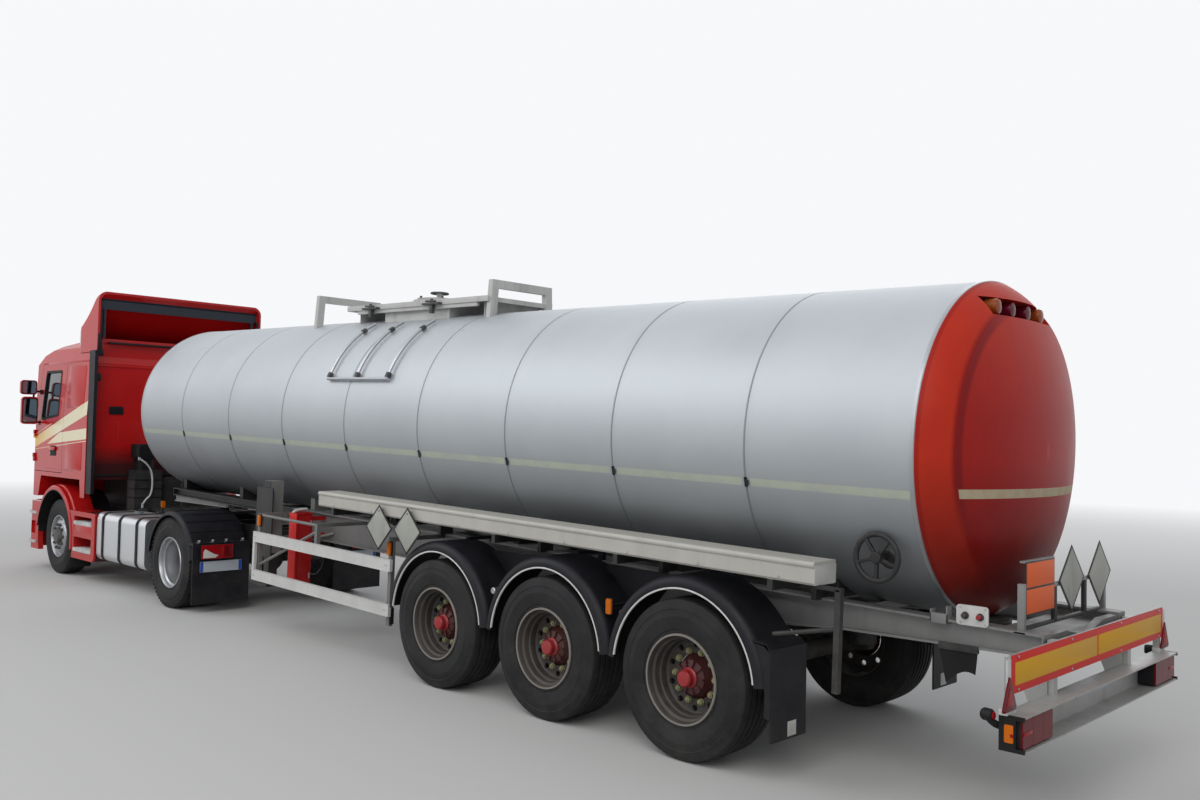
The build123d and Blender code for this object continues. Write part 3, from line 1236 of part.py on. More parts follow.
def deflector():
    rear = DEFLECTOR_X[0]
    shell = deflector_hull(0) - deflector_hull(DEFLECTOR_T)
    shell &= block(DEFLECTOR_X, (-CAB_HALF_W - 100, CAB_HALF_W + 100), (3000, DEFLECTOR_TOP_Z + 100))
    strut_x = (rear + 60, rear + 90)
    bar_half = DEFLECTOR_HALF_W - DEFLECTOR_T + 10
    shell += block(strut_x, (-bar_half, bar_half), DEFLECTOR_BAR_Z)
    for y in (-bar_half + 90, bar_half - 90):
        shell += block(strut_x, (y - 15, y + 15), (CAB_ROOF_Z, DEFLECTOR_BAR_Z[0] + 10))
        shell += block((strut_x[0], CAB_REAR_X + 120), (y - 15, y + 15), (CAB_ROOF_Z, CAB_ROOF_Z + 20))
    return shell - cab_outer


add("roof_deflector", deflector())

# Grille: a bowed panel with five slots, clear of the cab's face
GRILLE_SLOTS = 5
GRILLE_BACK_T = 12


def grille():
    band = plan_prism(Sketch() + cab_plan(-GRILLE_T), GRILLE_Z)
    band -= plan_prism(Sketch() + cab_plan(-SEAT_GAP), (GRILLE_Z[0] - 1, GRILLE_Z[1] + 1))
    front_x = (CAB_FRONT_X - 400, CAB_FRONT_X + 300)
    band &= block(front_x, (-GRILLE_HALF_W, GRILLE_HALF_W), GRILLE_Z)
    pitch = (GRILLE_Z[1] - GRILLE_Z[0] - 60) / GRILLE_SLOTS
    for n in range(GRILLE_SLOTS):
        z = GRILLE_Z[0] + 40 + n * pitch
        slot = block(front_x, (-GRILLE_HALF_W + 50, GRILLE_HALF_W - 50), (z, z + pitch * 0.55))
        band -= slot - plan_prism(Sketch() + cab_plan(-GRILLE_BACK_T), (z, z + pitch))
    return band


add("grille", grille())

# Front bumper: a bowed shell round the nose, cut by the wheel arches, with a step in each corner
HEAD_Y = (760, 1120)
HEAD_Z = (680, 900)
BUMPER_PLAN_OUT = 10
CORNER_STEP_X = (FRONT_AXLE_X + 745, FRONT_AXLE_X + 975)


def front_bumper():
    z = (BUMPER_LOW_Z, BUMPER_TOP_Z)
    shell = plan_prism(Sketch() + cab_plan(-BUMPER_PLAN_OUT), z)
    shell -= plan_prism(Sketch() + cab_plan(BUMPER_T), (z[0] - 1, z[1] + 1))
    shell &= block((FRONT_AXLE_X + 300, CAB_FRONT_X + 300), (-1400, 1400), z)
    shell -= cross_cylinder(ARCH_R + 5, (-1400, 1400), FRONT_AXLE_X, TYRE_R)
    flare_room = cross_cylinder(ARCH_OUT_R + 5, (-1400, 1400), FRONT_AXLE_X, TYRE_R)
    shell -= flare_room & block((FRONT_AXLE_X, CAB_FRONT_X), (-1400, 1400), (TYRE_R + 100, 1500))
    shell -= block((CAB_FRONT_X - 565, CAB_FRONT_X + 300), (-480, 480), (420, 560))
    for side in (-1, 1):
        horn_y = sorted((side * (RAIL_OUT_Y - 8), side * (TILT_Y[1] + 8)))
        shell -= block((RAIL_X[1], TILT_X + 40), horn_y, (BUMPER_TOP_Z - 90, BUMPER_TOP_Z + 1))
        y = side * RAIL_Y
        shell += block((RAIL_X[1] - 180, CAB_FRONT_X - 45), (y - 34, y + 34), (720, 800)) - frame_solid
    for side in (-1, 1):
        inner, outer = sorted((side * 1150, side * 1400))
        corner = block(CORNER_STEP_X, (inner, outer), (510, 690))
        shell -= corner - plan_prism(Sketch() + cab_plan(BUMPER_T - 20), z)
    return shell


head_cut = block((CAB_FRONT_X - 485, CAB_FRONT_X + 300), HEAD_Y, HEAD_Z)
head_y = (HEAD_Y[0] + SEAT_GAP, HEAD_Y[1] - SEAT_GAP)
head_z = (HEAD_Z[0] + SEAT_GAP, HEAD_Z[1] - SEAT_GAP)
head_layer = plan_prism(Sketch() + cab_plan(0), HEAD_Z) - plan_prism(Sketch() + cab_plan(BUMPER_T), HEAD_Z)
headlamp = head_layer & block((CAB_FRONT_X - 485, CAB_FRONT_X + 300), head_y, head_z)
tail_lamp = block((FLAP_X - 60, FLAP_X - SEAT_GAP), (790, 1160), (620, 775))
add("front_bumper", front_bumper() - head_cut - mirrored(head_cut))
add("tractor_lamps", both(headlamp) + both(tail_lamp))

# Rubber edges behind the cab's rear corners, with the stay that holds the deflector's side
EXTENDER_Z = (1180, 3110)
extender = block((CAB_REAR_X - 195, CAB_REAR_X - SEAT_GAP), (CAB_HALF_W - 50, CAB_HALF_W - 8), EXTENDER_Z)
stay_x = (CAB_REAR_X - 140, CAB_REAR_X - 100)
foot_z = EXTENDER_Z[1] - 60
extender += block(stay_x, (CAB_HALF_W - 110, CAB_HALF_W - 80), (foot_z, 3700))
extender += block(stay_x, (CAB_HALF_W - 110, CAB_HALF_W - 49), (foot_z, EXTENDER_Z[1]))
add("side_extenders", [s - deflector() for s in both(extender)])

# Seats, dash with its wheel, and bunk, seen through the glass
SEAT_X = FRONT_AXLE_X + 205
SEAT_Y = 680
SEAT_HALF_W = 250
inside_floor = CAB_FLOOR_Z + CAB_WALL
# Columns: place along X from the seat's middle, and height over the cab's inside floor
SEAT_OUTLINE = (
    (-90, 0), (110, 0), (90, 190), (240, 210), (255, 300), (200, 345), (-150, 320),
    (-270, 780), (-230, 1000), (-300, 1030), (-370, 985), (-330, 560), (-270, 240), (-90, 200),
)


def seat():
    outline = [(SEAT_X + x, inside_floor + z) for x, z in SEAT_OUTLINE]
    shape = side_prism(outline, (SEAT_Y - SEAT_HALF_W, SEAT_Y + SEAT_HALF_W))
    for side in (-1, 1):
        y = tuple(sorted((SEAT_Y + side * 150, SEAT_Y + side * (SEAT_HALF_W + 1))))
        shape -= block((SEAT_X - 400, SEAT_X - 180), y, (inside_floor + 790, inside_floor + 1040))
        shape -= block((SEAT_X - 95, SEAT_X + 115), y, (inside_floor - 1, inside_floor + 185))
    return shape


def steering_wheel():
    wheel = Torus(215, 16) + Box(40, 420, 14) + Pos(0, 0, 100) * Cylinder(25, 210)
    return Pos(CAB_FRONT_X - 640, SEAT_Y, 2020) * Rot(0, 60, 0) * wheel


dash_outline = [
    (CAB_FRONT_X - 500, CAB_LOW_Z + CAB_WALL), (CAB_FRONT_X - 500, 1640), (CAB_FRONT_X - 540, 1720),
    (CAB_FRONT_X - 540, 1980), (CAB_FRONT_X - 440, 2060), (CAB_FRONT_X - 170, 2030),
    (CAB_FRONT_X - 120, CAB_LOW_Z),
]
dash = side_prism(dash_outline, (-1100, 1100)) & cab_inner
bunk_outline = [
    (CAB_REAR_X + CAB_WALL, inside_floor), (CAB_REAR_X + 560, inside_floor), (CAB_REAR_X + 560, 1850),
    (CAB_REAR_X + 600, 1880), (CAB_REAR_X + 600, 1950), (CAB_REAR_X + 560, 1980),
    (CAB_REAR_X + CAB_WALL, 1980),
]
bunk = side_prism(bunk_outline, (-1000, 1000))
wheel_and_column = steering_wheel() - dash.moved(Location((-SEAT_GAP, 0, 0)))
add("cab_interior", both(seat()) + [dash, wheel_and_column, bunk])

os.makedirs("parts", exist_ok=True)
for name, shape in parts.items():
    export_step(shape, f"parts/{name}.step")
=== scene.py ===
import math

import bmesh
import bpy
from mathutils import Matrix, Vector


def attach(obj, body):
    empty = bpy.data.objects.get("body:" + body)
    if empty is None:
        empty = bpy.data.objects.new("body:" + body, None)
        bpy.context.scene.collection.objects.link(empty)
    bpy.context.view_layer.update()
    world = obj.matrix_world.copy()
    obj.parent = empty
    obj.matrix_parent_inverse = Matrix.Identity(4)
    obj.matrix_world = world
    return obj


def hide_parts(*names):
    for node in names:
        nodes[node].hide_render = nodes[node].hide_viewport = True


# The looks of the articulated tanker, in metres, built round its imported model.
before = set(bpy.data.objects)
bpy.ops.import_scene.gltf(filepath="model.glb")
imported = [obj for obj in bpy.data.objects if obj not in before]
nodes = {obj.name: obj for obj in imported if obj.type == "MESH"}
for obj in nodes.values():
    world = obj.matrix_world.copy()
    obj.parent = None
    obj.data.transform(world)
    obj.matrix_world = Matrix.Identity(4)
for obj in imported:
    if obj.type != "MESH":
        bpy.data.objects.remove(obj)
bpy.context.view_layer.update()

# Places are measured forward from the rearmost axle; the trailer's own parts stand in its tipped frame
ORIGIN_X = 5.33
SLOPE = 1.44


def at(x, y, z):
    return Matrix.Translation((x, y, z))


def turned(degrees, axis):
    return Matrix.Rotation(math.radians(degrees), 4, axis)


GROUND = at(-ORIGIN_X, 0, 0)
TIPPED = GROUND @ turned(-SLOPE, "Y")
FLIP_Y = Matrix.Scale(-1, 4, (0, 1, 0))

# The photograph's viewpoint: its place, its three directions and its focal length in widths of the frame
CAMERA_AT = Vector((-9.7279, 6.5342, 2.0876))
CAMERA_RIGHT = Vector((-0.7159, -0.6979, 0.0204))
CAMERA_UP = Vector((-0.0097, 0.0391, 0.9992))
CAMERA_AHEAD = Vector((0.6981, -0.7151, 0.0348))
FOCAL = 1051.02 / 1200
SENSOR = 36


def add_camera():
    data = bpy.data.cameras.new("viewpoint")
    data.sensor_width = SENSOR
    data.lens = FOCAL * SENSOR
    data.clip_end = 200
    camera = bpy.data.objects.new("viewpoint", data)
    bpy.context.scene.collection.objects.link(camera)
    turn = Matrix((CAMERA_RIGHT, CAMERA_UP, -CAMERA_AHEAD)).transposed().to_4x4()
    camera.matrix_world = Matrix.Translation(CAMERA_AT) @ turn
    bpy.context.scene.camera = camera


add_camera()


# Shader trees
class Value:
    """A socket of a material's tree on which sums can be written."""

    def __init__(self, maker, socket):
        self.maker = maker
        self.socket = socket

    def sum(self, operation, first, second=0.0):
        return self.maker.node("ShaderNodeMath", {0: first, 1: second}, {"operation": operation})

    def __add__(self, other):
        return self.sum("ADD", self, other)

    __radd__ = __add__

    def __sub__(self, other):
        return self.sum("SUBTRACT", self, other)

    def __rsub__(self, other):
        return self.sum("SUBTRACT", other, self)

    def __mul__(self, other):
        return self.sum("MULTIPLY", self, other)

    __rmul__ = __mul__

    def __truediv__(self, other):
        return self.sum("DIVIDE", self, other)

    def __pow__(self, other):
        return self.sum("POWER", self, other)

    def __abs__(self):
        return self.sum("ABSOLUTE", self)

    def least(self, other):
        return self.sum("MINIMUM", self, other)

    def most(self, other):
        return self.sum("MAXIMUM", self, other)

    def whole(self):
        return self.sum("FLOOR", self)

    def rest(self):
        return self.sum("FRACT", self)

    def above(self, edge, blur=0.003):
        """0 below an edge and 1 above it, over a short blur."""
        return self.between(edge, edge + blur)

    def between(self, low, high, from_value=0.0, to_value=1.0):
        ends = {"Value": self, 1: low, 2: high, 3: from_value, 4: to_value}
        return self.maker.node("ShaderNodeMapRange", ends, {"clamp": True})


class Maker:
    """The node tree of one finish."""

    def __init__(self, name):
        self.material = bpy.data.materials.new(name)
        self.material.use_nodes = True
        self.tree = self.material.node_tree
        self.surface = self.tree.nodes["Principled BSDF"]
        self.place = self.node("ShaderNodeTexCoord", out="Object")

    def node(self, kind, inputs=None, settings=None, out=0):
        made = self.tree.nodes.new(kind)
        for key, value in (settings or {}).items():
            setattr(made, key, value)
        for key, value in (inputs or {}).items():
            self.put(made.inputs[key], value)
        return Value(self, made.outputs[out])

    def put(self, socket, value):
        if isinstance(value, Value):
            self.tree.links.new(value.socket, socket)
        elif isinstance(value, tuple) and len(value) == 3 and socket.type == "RGBA":
            socket.default_value = (*value, 1)
        else:
            socket.default_value = value

    def axes(self):
        split = self.node("ShaderNodeSeparateXYZ", {0: self.place})
        outs = split.socket.node.outputs
        return [Value(self, outs[n]) for n in range(3)]

    def spread(self, scale):
        """The place on the object, stretched by a scale along each axis."""
        return self.node("ShaderNodeVectorMath", {0: self.place, 1: scale}, {"operation": "MULTIPLY"})

    def noise(self, scale, detail=4.0, rough=0.55, stretch=None):
        inputs = {"Scale": scale, "Detail": detail, "Roughness": rough}
        inputs["Vector"] = self.spread(stretch) if stretch else self.place
        return self.node("ShaderNodeTexNoise", inputs)

    def cells(self, scale):
        return self.node("ShaderNodeTexVoronoi", {"Scale": scale, "Vector": self.place})

    def mix(self, mask, first, second):
        inputs = {0: mask, 6: first, 7: second}
        return self.node("ShaderNodeMix", inputs, {"data_type": "RGBA"}, out=2)

    def shade(self, colour, mask, amount):
        """A colour darkened where the mask is 1."""
        return self.mix(mask * amount, colour, (0.0, 0.0, 0.0))

    def bump(self, height, strength, distance=0.01):
        inputs = {"Height": height, "Strength": strength, "Distance": distance}
        return self.node("ShaderNodeBump", inputs)

    def done(self, **sockets):
        for key, value in sockets.items():
            self.put(self.surface.inputs[key.replace("_", " ").title().replace("Ior", "IOR")], value)
        return self.material


DUST = (0.33, 0.29, 0.23)


def weathered(make, colour, low=0.2, high=1.6, amount=0.5, grain=9.0):
    """Dust that thickens towards the ground, in patches. Returns the colour and the dust's mask."""
    height = make.axes()[2].between(high, low)
    patches = make.noise(grain, 6.0, 0.65).between(0.35, 0.75)
    mask = height * patches * amount
    return make.mix(mask, colour, DUST), mask


def paint(name, colour, rough=0.28, coat=0.6, dust=0.45, high=1.5, wear=0.05):
    make = Maker(name)
    tone = make.noise(2.2, 5.0, 0.6).between(0.3, 0.7)
    tinted = make.mix(tone * wear, colour, tuple(min(1, c * 1.5 + 0.02) for c in colour))
    tinted, mask = weathered(make, tinted, 0.2, high, dust)
    peel = make.noise(260.0, 2.0)
    return make.done(
        base_color=tinted, roughness=mask * 0.5 + tone * 0.06 + rough, coat_weight=(1 - mask) * coat,
        coat_roughness=0.08, specular_ior_level=0.2, normal=make.bump(peel, 0.035, 0.002),
    )


# The edges of the stripes, each as forward place and height at its front end, then at its rear end
STRIPE_LONG = ((7.13, 1.76, 5.13, 2.24), (7.13, 1.91, 5.13, 2.43))
STRIPE_SHORT = ((6.60, 1.82, 5.13, 1.91), (6.57, 1.84, 6.14, 1.99), (6.14, 1.99, 5.13, 2.06))
PIN_LINES = ((7.10, 1.955, 6.45, 2.12), (7.13, 1.735, 5.13, 1.885))


def line_height(x, ends):
    x0, z0, x1, z1 = ends
    slope = (z1 - z0) / (x1 - x0)
    return x * slope + (z0 - slope * x0)


def red_of_the_cab():
    """Gloss red with two swept stripes on the sides, gold at the front and cream at the rear."""
    make = Maker("cab red")
    x, y, z = make.axes()
    tone = make.noise(1.3, 4.0).between(0.3, 0.7)
    red = make.mix(tone, (0.43, 0.006, 0.008), (0.50, 0.011, 0.010))
    side = abs(y).above(1.1)
    long_low, long_high = [line_height(x, ends) for ends in STRIPE_LONG]
    stripe = (z - long_low).above(0.0) * (long_high - z).above(0.0)
    low, steep, flat = [line_height(x, ends) for ends in STRIPE_SHORT]
    short = (z - low).above(0.0) * (steep - z).above(0.0) * (flat - z).above(0.0) * (6.6 - x).above(0.0)
    pins = None
    for ends in PIN_LINES:
        pin = (0.006 - abs(z - line_height(x, ends))).above(0.0) * (x - ends[2]).above(0.0)
        pins = pin if pins is None else pins.most(pin)
    mask = stripe.most(short).most(pins) * side * (x - 5.125).above(0.0) * (7.14 - x).above(0.0)
    front = x.between(6.25, 7.05)
    gold = make.mix(front, (0.76, 0.68, 0.46), (0.74, 0.42, 0.05))
    coloured = make.mix(mask, red, gold)
    coloured, dust = weathered(make, coloured, 0.2, 1.2, 0.10, 3.0)
    peel = make.noise(240.0, 2.0)
    # Painted shade: two panel lines on each side are darkened like shaded grooves, and bumped in
    seam = (0.004 - abs(x - 5.54)).above(0.0) * z.between(1.46, 1.47) * z.between(1.89, 1.88) * side
    crease = (0.005 - abs(z - 1.47)).above(0.0) * x.between(5.54, 5.56) * x.between(6.72, 6.70) * side
    lines = seam.most(crease)
    coloured = make.shade(coloured, lines, 0.55)
    bar = x.above(5.022) * (5.068 - x).above(0.0) * (1.135 - abs(y)).above(0.0) * z.above(3.292)
    coloured = make.mix(bar, coloured, (0.030, 0.036, 0.046))
    # Painted shade: the rear wall's lower part is darkened nearly to black and made rougher, as if in shadow
    rear_wall_shade = (5.123 - x).above(0.0) * z.between(1.84, 1.56) * (1.215 - abs(y)).above(0.0)
    coloured = make.mix(rear_wall_shade * 0.92, coloured, (0.014, 0.008, 0.008))
    return make.done(
        base_color=coloured, roughness=dust * 0.5 + tone * 0.05 + bar * 0.3 + rear_wall_shade * 0.3 + 0.20,
        coat_weight=(1 - bar) * (0.24 - dust * 0.5), coat_roughness=0.06, specular_ior_level=0.18,
        normal=make.bump(peel * 0.05 - lines, 0.35, 0.004),
    )


# The barrel: its rear edge, the length of one cladding sheet, its radius and the height of its middle
TANK_REAR = -1.476
BAY = 10.6 / 9
TANK_R = 1.058
TANK_Z = 2.10
SLOPE_SIN = math.sin(math.radians(SLOPE))
SLOPE_COS = math.cos(math.radians(SLOPE))


def trailer_axes(make):
    """Place along the trailer and height over the ground at the rear axle, in its tipped frame."""
    x, y, z = make.axes()
    along = (x + ORIGIN_X) * SLOPE_COS + z * SLOPE_SIN
    up = z * SLOPE_COS - (x + ORIGIN_X) * SLOPE_SIN
    return along, y, up


def clad_sheet():
    """Aged aluminium cladding: sheets of different tone, rain streaks, painted shade darkening the belly,
    tape on the side.
    """
    make = Maker("tank cladding")
    along, y, up = trailer_axes(make)
    sheet = ((along - TANK_REAR) / BAY).whole()
    tone = make.node("ShaderNodeTexWhiteNoise", {"W": sheet}, {"noise_dimensions": "1D"})
    streaks = make.noise(2.2, 6.0, 0.6, (1.0, 1.0, 0.35)).between(0.35, 0.75)
    clouds = make.noise(0.9, 5.0, 0.6).between(0.35, 0.7)
    fine = make.noise(60.0, 3.0, 0.6, (0.12, 1.0, 1.0))
    base = make.mix(streaks * 0.35 + clouds * 0.65, (0.455, 0.485, 0.510), (0.540, 0.570, 0.590))
    base = make.mix(tone * 0.12, base, (0.44, 0.475, 0.505))
    # Painted shade: the barrel darkens nearly to black towards its belly, a little unevenly with the streaks
    under = up.between(2.45, 1.10)
    base = make.mix((under ** 1.35) * (streaks * 0.12 + 0.82), base, (0.036, 0.037, 0.040))
    near_seam = abs(((along - TANK_REAR) / BAY + 0.5).rest() - 0.5) * BAY
    joint = near_seam.between(0.007, 0.003) * along.between(-1.3, -1.2) * along.between(9.0, 8.9)
    smear = near_seam.between(0.06, 0.01) * streaks * along.between(-1.3, -1.2)
    base = make.shade(base, smear, 0.08)
    base = make.mix(joint * 0.7, base, (0.10, 0.11, 0.12))
    drips = make.noise(26.0, 4.0, 0.7, (2.2, 0.5, 0.5)).between(0.64, 0.70) * up.between(2.78, 2.95)
    drips = drips * along.between(2.5, 3.0) * along.between(3.9, 3.4)
    base = make.mix(drips * 0.75, base, (0.06, 0.055, 0.05))
    tape_z = abs(up - 1.825).between(0.026, 0.024) * near_seam.between(0.03, 0.035)
    worn = make.noise(7.0, 5.0, 0.7).between(0.25, 0.6)
    tape = tape_z * abs(y).above(0.8) * (worn * 0.45 + 0.22)
    base = make.mix(tape, base, (0.47, 0.50, 0.36))
    rough = clouds * 0.08 + streaks * 0.05 + fine * 0.05 + 0.42 + tape * 0.2
    height = make.noise(2.6, 3.0) * 0.6 + fine * 0.02 - joint * 0.4
    return make.done(
        base_color=base, roughness=rough, metallic=0.40 - joint * 0.3 - tape * 0.4,
        normal=make.bump(height, 0.07, 0.02),
    )


def dome_red():
    """Faded orange red round the rim and a darker red on the crown, with a strip of tape, and painted shade
    along the crease on the left and over the lower half.
    """
    make = Maker("dome red")
    along, y, up = trailer_axes(make)
    out = (y * y + (up - TANK_Z) * (up - TANK_Z)) ** 0.5
    tone = make.noise(1.6, 6.0, 0.65).between(0.3, 0.7)
    ring = make.mix(tone, (0.42, 0.022, 0.010), (0.50, 0.032, 0.013))
    crown = make.mix(tone, (0.30, 0.008, 0.007), (0.36, 0.013, 0.009))
    crown = make.mix(up.between(2.3, 3.0), crown, ring)
    inside = out.between(0.915, 0.885)
    red = make.mix(inside, ring, crown)
    # Painted shade: a dark line along the crease, on the left side
    crease = abs(out - 0.885).between(0.045, 0.02) * y.between(0.1, 0.5) * up.between(1.6, 1.9)
    red = make.mix(crease * 0.75, red, (0.17, 0.003, 0.006))
    edge = along.above(-1.50)
    red = make.mix(edge * 0.6, red, (0.30, 0.008, 0.008))
    # Painted shade: the lower half darkens nearly to black, unevenly in patches
    low = up.between(2.05, 1.2)
    patches = make.noise(5.0, 5.0).between(0.2, 0.8)
    red = make.mix(low * (patches * 0.3 + 0.62), red, (0.045, 0.006, 0.006))
    streaks = make.noise(4.0, 6.0, 0.6, (1.0, 6.0, 0.5)).between(0.55, 0.85)
    red = make.mix(streaks * 0.14, red, (0.20, 0.035, 0.025))
    tape = abs(up - 1.845).between(0.028, 0.026) * out.between(0.89, 0.885)
    worn = make.noise(9.0, 5.0, 0.7).between(0.2, 0.6)
    red = make.mix(tape * (worn * 0.3 + 0.6), red, (0.46, 0.42, 0.28))
    peel = make.noise(180.0, 2.0)
    return make.done(
        base_color=red, roughness=tone * 0.1 + streaks * 0.12 + tape * 0.2 + 0.36, coat_weight=0.05,
        coat_roughness=0.2, specular_ior_level=0.10, normal=make.bump(peel, 0.04, 0.002),
    )


def moulded(name, colour=(0.016, 0.016, 0.02), rough=0.42, dust=0.5, high=1.3, grain=150.0, pits=0.25):
    """Black moulded plastic or rubber sheet with a fine leather grain and dust."""
    make = Maker(name)
    tone = make.noise(6.0, 4.0).between(0.3, 0.7)
    base = make.mix(tone * 0.5, colour, tuple(c * 2.1 + 0.004 for c in colour))
    base, mask = weathered(make, base, 0.1, high, dust, 5.0)
    skin = make.cells(grain)
    return make.done(
        base_color=base, roughness=tone * 0.12 + rough + mask * 0.35, specular_ior_level=0.22,
        normal=make.bump(skin, pits, 0.0015),
    )


def tyre_rubber():
    make = Maker("tyre rubber")
    tone = make.noise(5.0, 6.0, 0.65).between(0.35, 0.7)
    mud = make.noise(2.4, 7.0, 0.7).between(0.46, 0.72)
    low = make.axes()[2].between(1.05, 0.0, 0.25, 1.0)
    base = make.mix(tone, (0.008, 0.008, 0.009), (0.020, 0.020, 0.021))
    base = make.mix(mud * low * 0.40, base, (0.10, 0.093, 0.082))
    fine = make.noise(120.0, 4.0)
    return make.done(
        base_color=base, roughness=0.62 + mud * 0.25, specular_ior_level=0.25,
        normal=make.bump(fine + mud * 0.6, 0.16, 0.003),
    )


def chassis_black(name="chassis black", colour=(0.014, 0.014, 0.015)):
    make = Maker(name)
    tone = make.noise(7.0, 6.0, 0.65).between(0.35, 0.7)
    rust = make.noise(4.0, 7.0, 0.7).between(0.62, 0.74)
    base = make.mix(tone * 0.7, colour, tuple(c * 2.4 + 0.01 for c in colour))
    base = make.mix(rust * 0.45, base, (0.10, 0.045, 0.022))
    base, mask = weathered(make, base, 0.1, 1.3, 0.4, 6.0)
    return make.done(
        base_color=base, roughness=0.48 + tone * 0.15 + mask * 0.2, specular_ior_level=0.3,
        normal=make.bump(make.noise(90.0, 4.0), 0.12, 0.002),
    )


def worn_paint(name, colour, rough=0.42, dirt=0.35, rust=0.3, metallic=0.0, dark=None,
               dark_colour=(0.014, 0.014, 0.015)):
    """Old paint or zinc outdoors: dirty in patches, rusty in spots, and another colour where dark is 1."""
    make = Maker(name)
    tone = make.noise(3.0, 6.0, 0.65).between(0.35, 0.7)
    runs = make.noise(8.0, 5.0, 0.6, (1.0, 1.0, 0.16)).between(0.5, 0.75)
    spots = make.noise(14.0, 7.0, 0.72).between(0.66, 0.75)
    base = make.mix(tone * 0.5, colour, tuple(c * 0.78 for c in colour))
    if dark:
        base = make.mix(dark(make), base, dark_colour)
    base = make.mix(runs * dirt, base, (0.12, 0.11, 0.095))
    base = make.mix(spots * rust, base, (0.16, 0.07, 0.03))
    base, mask = weathered(make, base, 0.1, 1.2, 0.16, 6.0)
    return make.done(
        base_color=base, roughness=rough + tone * 0.12 + runs * 0.1 + mask * 0.2, metallic=metallic,
        normal=make.bump(make.noise(110.0, 3.0), 0.08, 0.002),
    )


def frame_dark(make):
    """Over the coupling the trailer's frame is black; above its beams, on the saddles under the tank, the
    dark is painted shade, but for one saddle plate.
    """
    along, y, up = trailer_axes(make)
    plate = along.above(5.6) * (5.8 - along).above(0.0)
    return up.above(1.099).most(along.above(6.0)) * (1 - plate)


def box_dark(make):
    """The side boxes' brackets, under their floor, are black."""
    up = trailer_axes(make)[2]
    return (1.262 - up).above(0.0)


def guard_dark(make):
    """The guards' posts and stays, behind their planks, are bare zinc."""
    return (1.187 - abs(make.axes()[1])).above(0.0)


def leg_dark(make):
    """The plate on the landing leg's outer side and the feet are black."""
    along, y, up = trailer_axes(make)
    return abs(y).above(1.0).most((0.64 - up).above(0.0))


def bare_metal(name, colour, rough=0.3, stretch=(1.0, 1.0, 1.0), dull=0.3):
    make = Maker(name)
    tone = make.noise(5.0, 6.0, 0.6).between(0.3, 0.7)
    grain = make.noise(70.0, 3.0, 0.6, stretch)
    base = make.mix(tone * dull, colour, tuple(c * 0.55 for c in colour))
    base, mask = weathered(make, base, 0.1, 1.1, 0.12, 8.0)
    return make.done(
        base_color=base, roughness=rough + tone * 0.1 + grain * 0.08 + mask * 0.3, metallic=0.95 - mask * 0.7,
        normal=make.bump(grain, 0.05, 0.001),
    )


def lens(name, colour, rough=0.12):
    """A moulded lamp lens with its fine inner ribs."""
    make = Maker(name)
    x, y, z = make.axes()
    ribs = (y * 90.0).rest().between(0.0, 0.5) * (z * 90.0).rest().between(0.0, 0.5)
    base = make.mix(ribs * 0.3, colour, tuple(c * 0.5 for c in colour))
    base, mask = weathered(make, base, 0.1, 1.0, 0.06)
    return make.done(
        base_color=base, roughness=rough + mask * 0.4, coat_weight=0.06 - mask * 0.3, coat_roughness=0.05,
        specular_ior_level=0.14, normal=make.bump(ribs, 0.12, 0.002),
    )


# With its default colour and cover the glass is dark and nearly opaque: painted shade of the cab's inside
# behind it
def window_glass(name="window glass", colour=(0.008, 0.011, 0.013), cover=0.94):
    make = Maker(name)
    smears = make.noise(3.0, 5.0, 0.6).between(0.4, 0.8)
    return make.done(
        base_color=colour, roughness=smears * 0.06 + 0.03, coat_weight=0.5,
        coat_roughness=0.02, alpha=smears * 0.05 + cover,
    )


def mirror_glass():
    make = Maker("mirror glass")
    smears = make.noise(9.0, 5.0).between(0.4, 0.8)
    return make.done(base_color=(0.24, 0.33, 0.40), roughness=smears * 0.05 + 0.02, metallic=1.0)


def cloth():
    make = Maker("seat cloth")
    x, y, z = make.axes()
    weave = (x * 400.0).rest() * (z * 400.0).rest()
    tone = make.noise(8.0, 4.0)
    base = make.mix(tone, (0.030, 0.031, 0.036), (0.055, 0.055, 0.06))
    return make.done(base_color=base, roughness=tone * 0.1 + 0.85, normal=make.bump(weave, 0.2, 0.001))


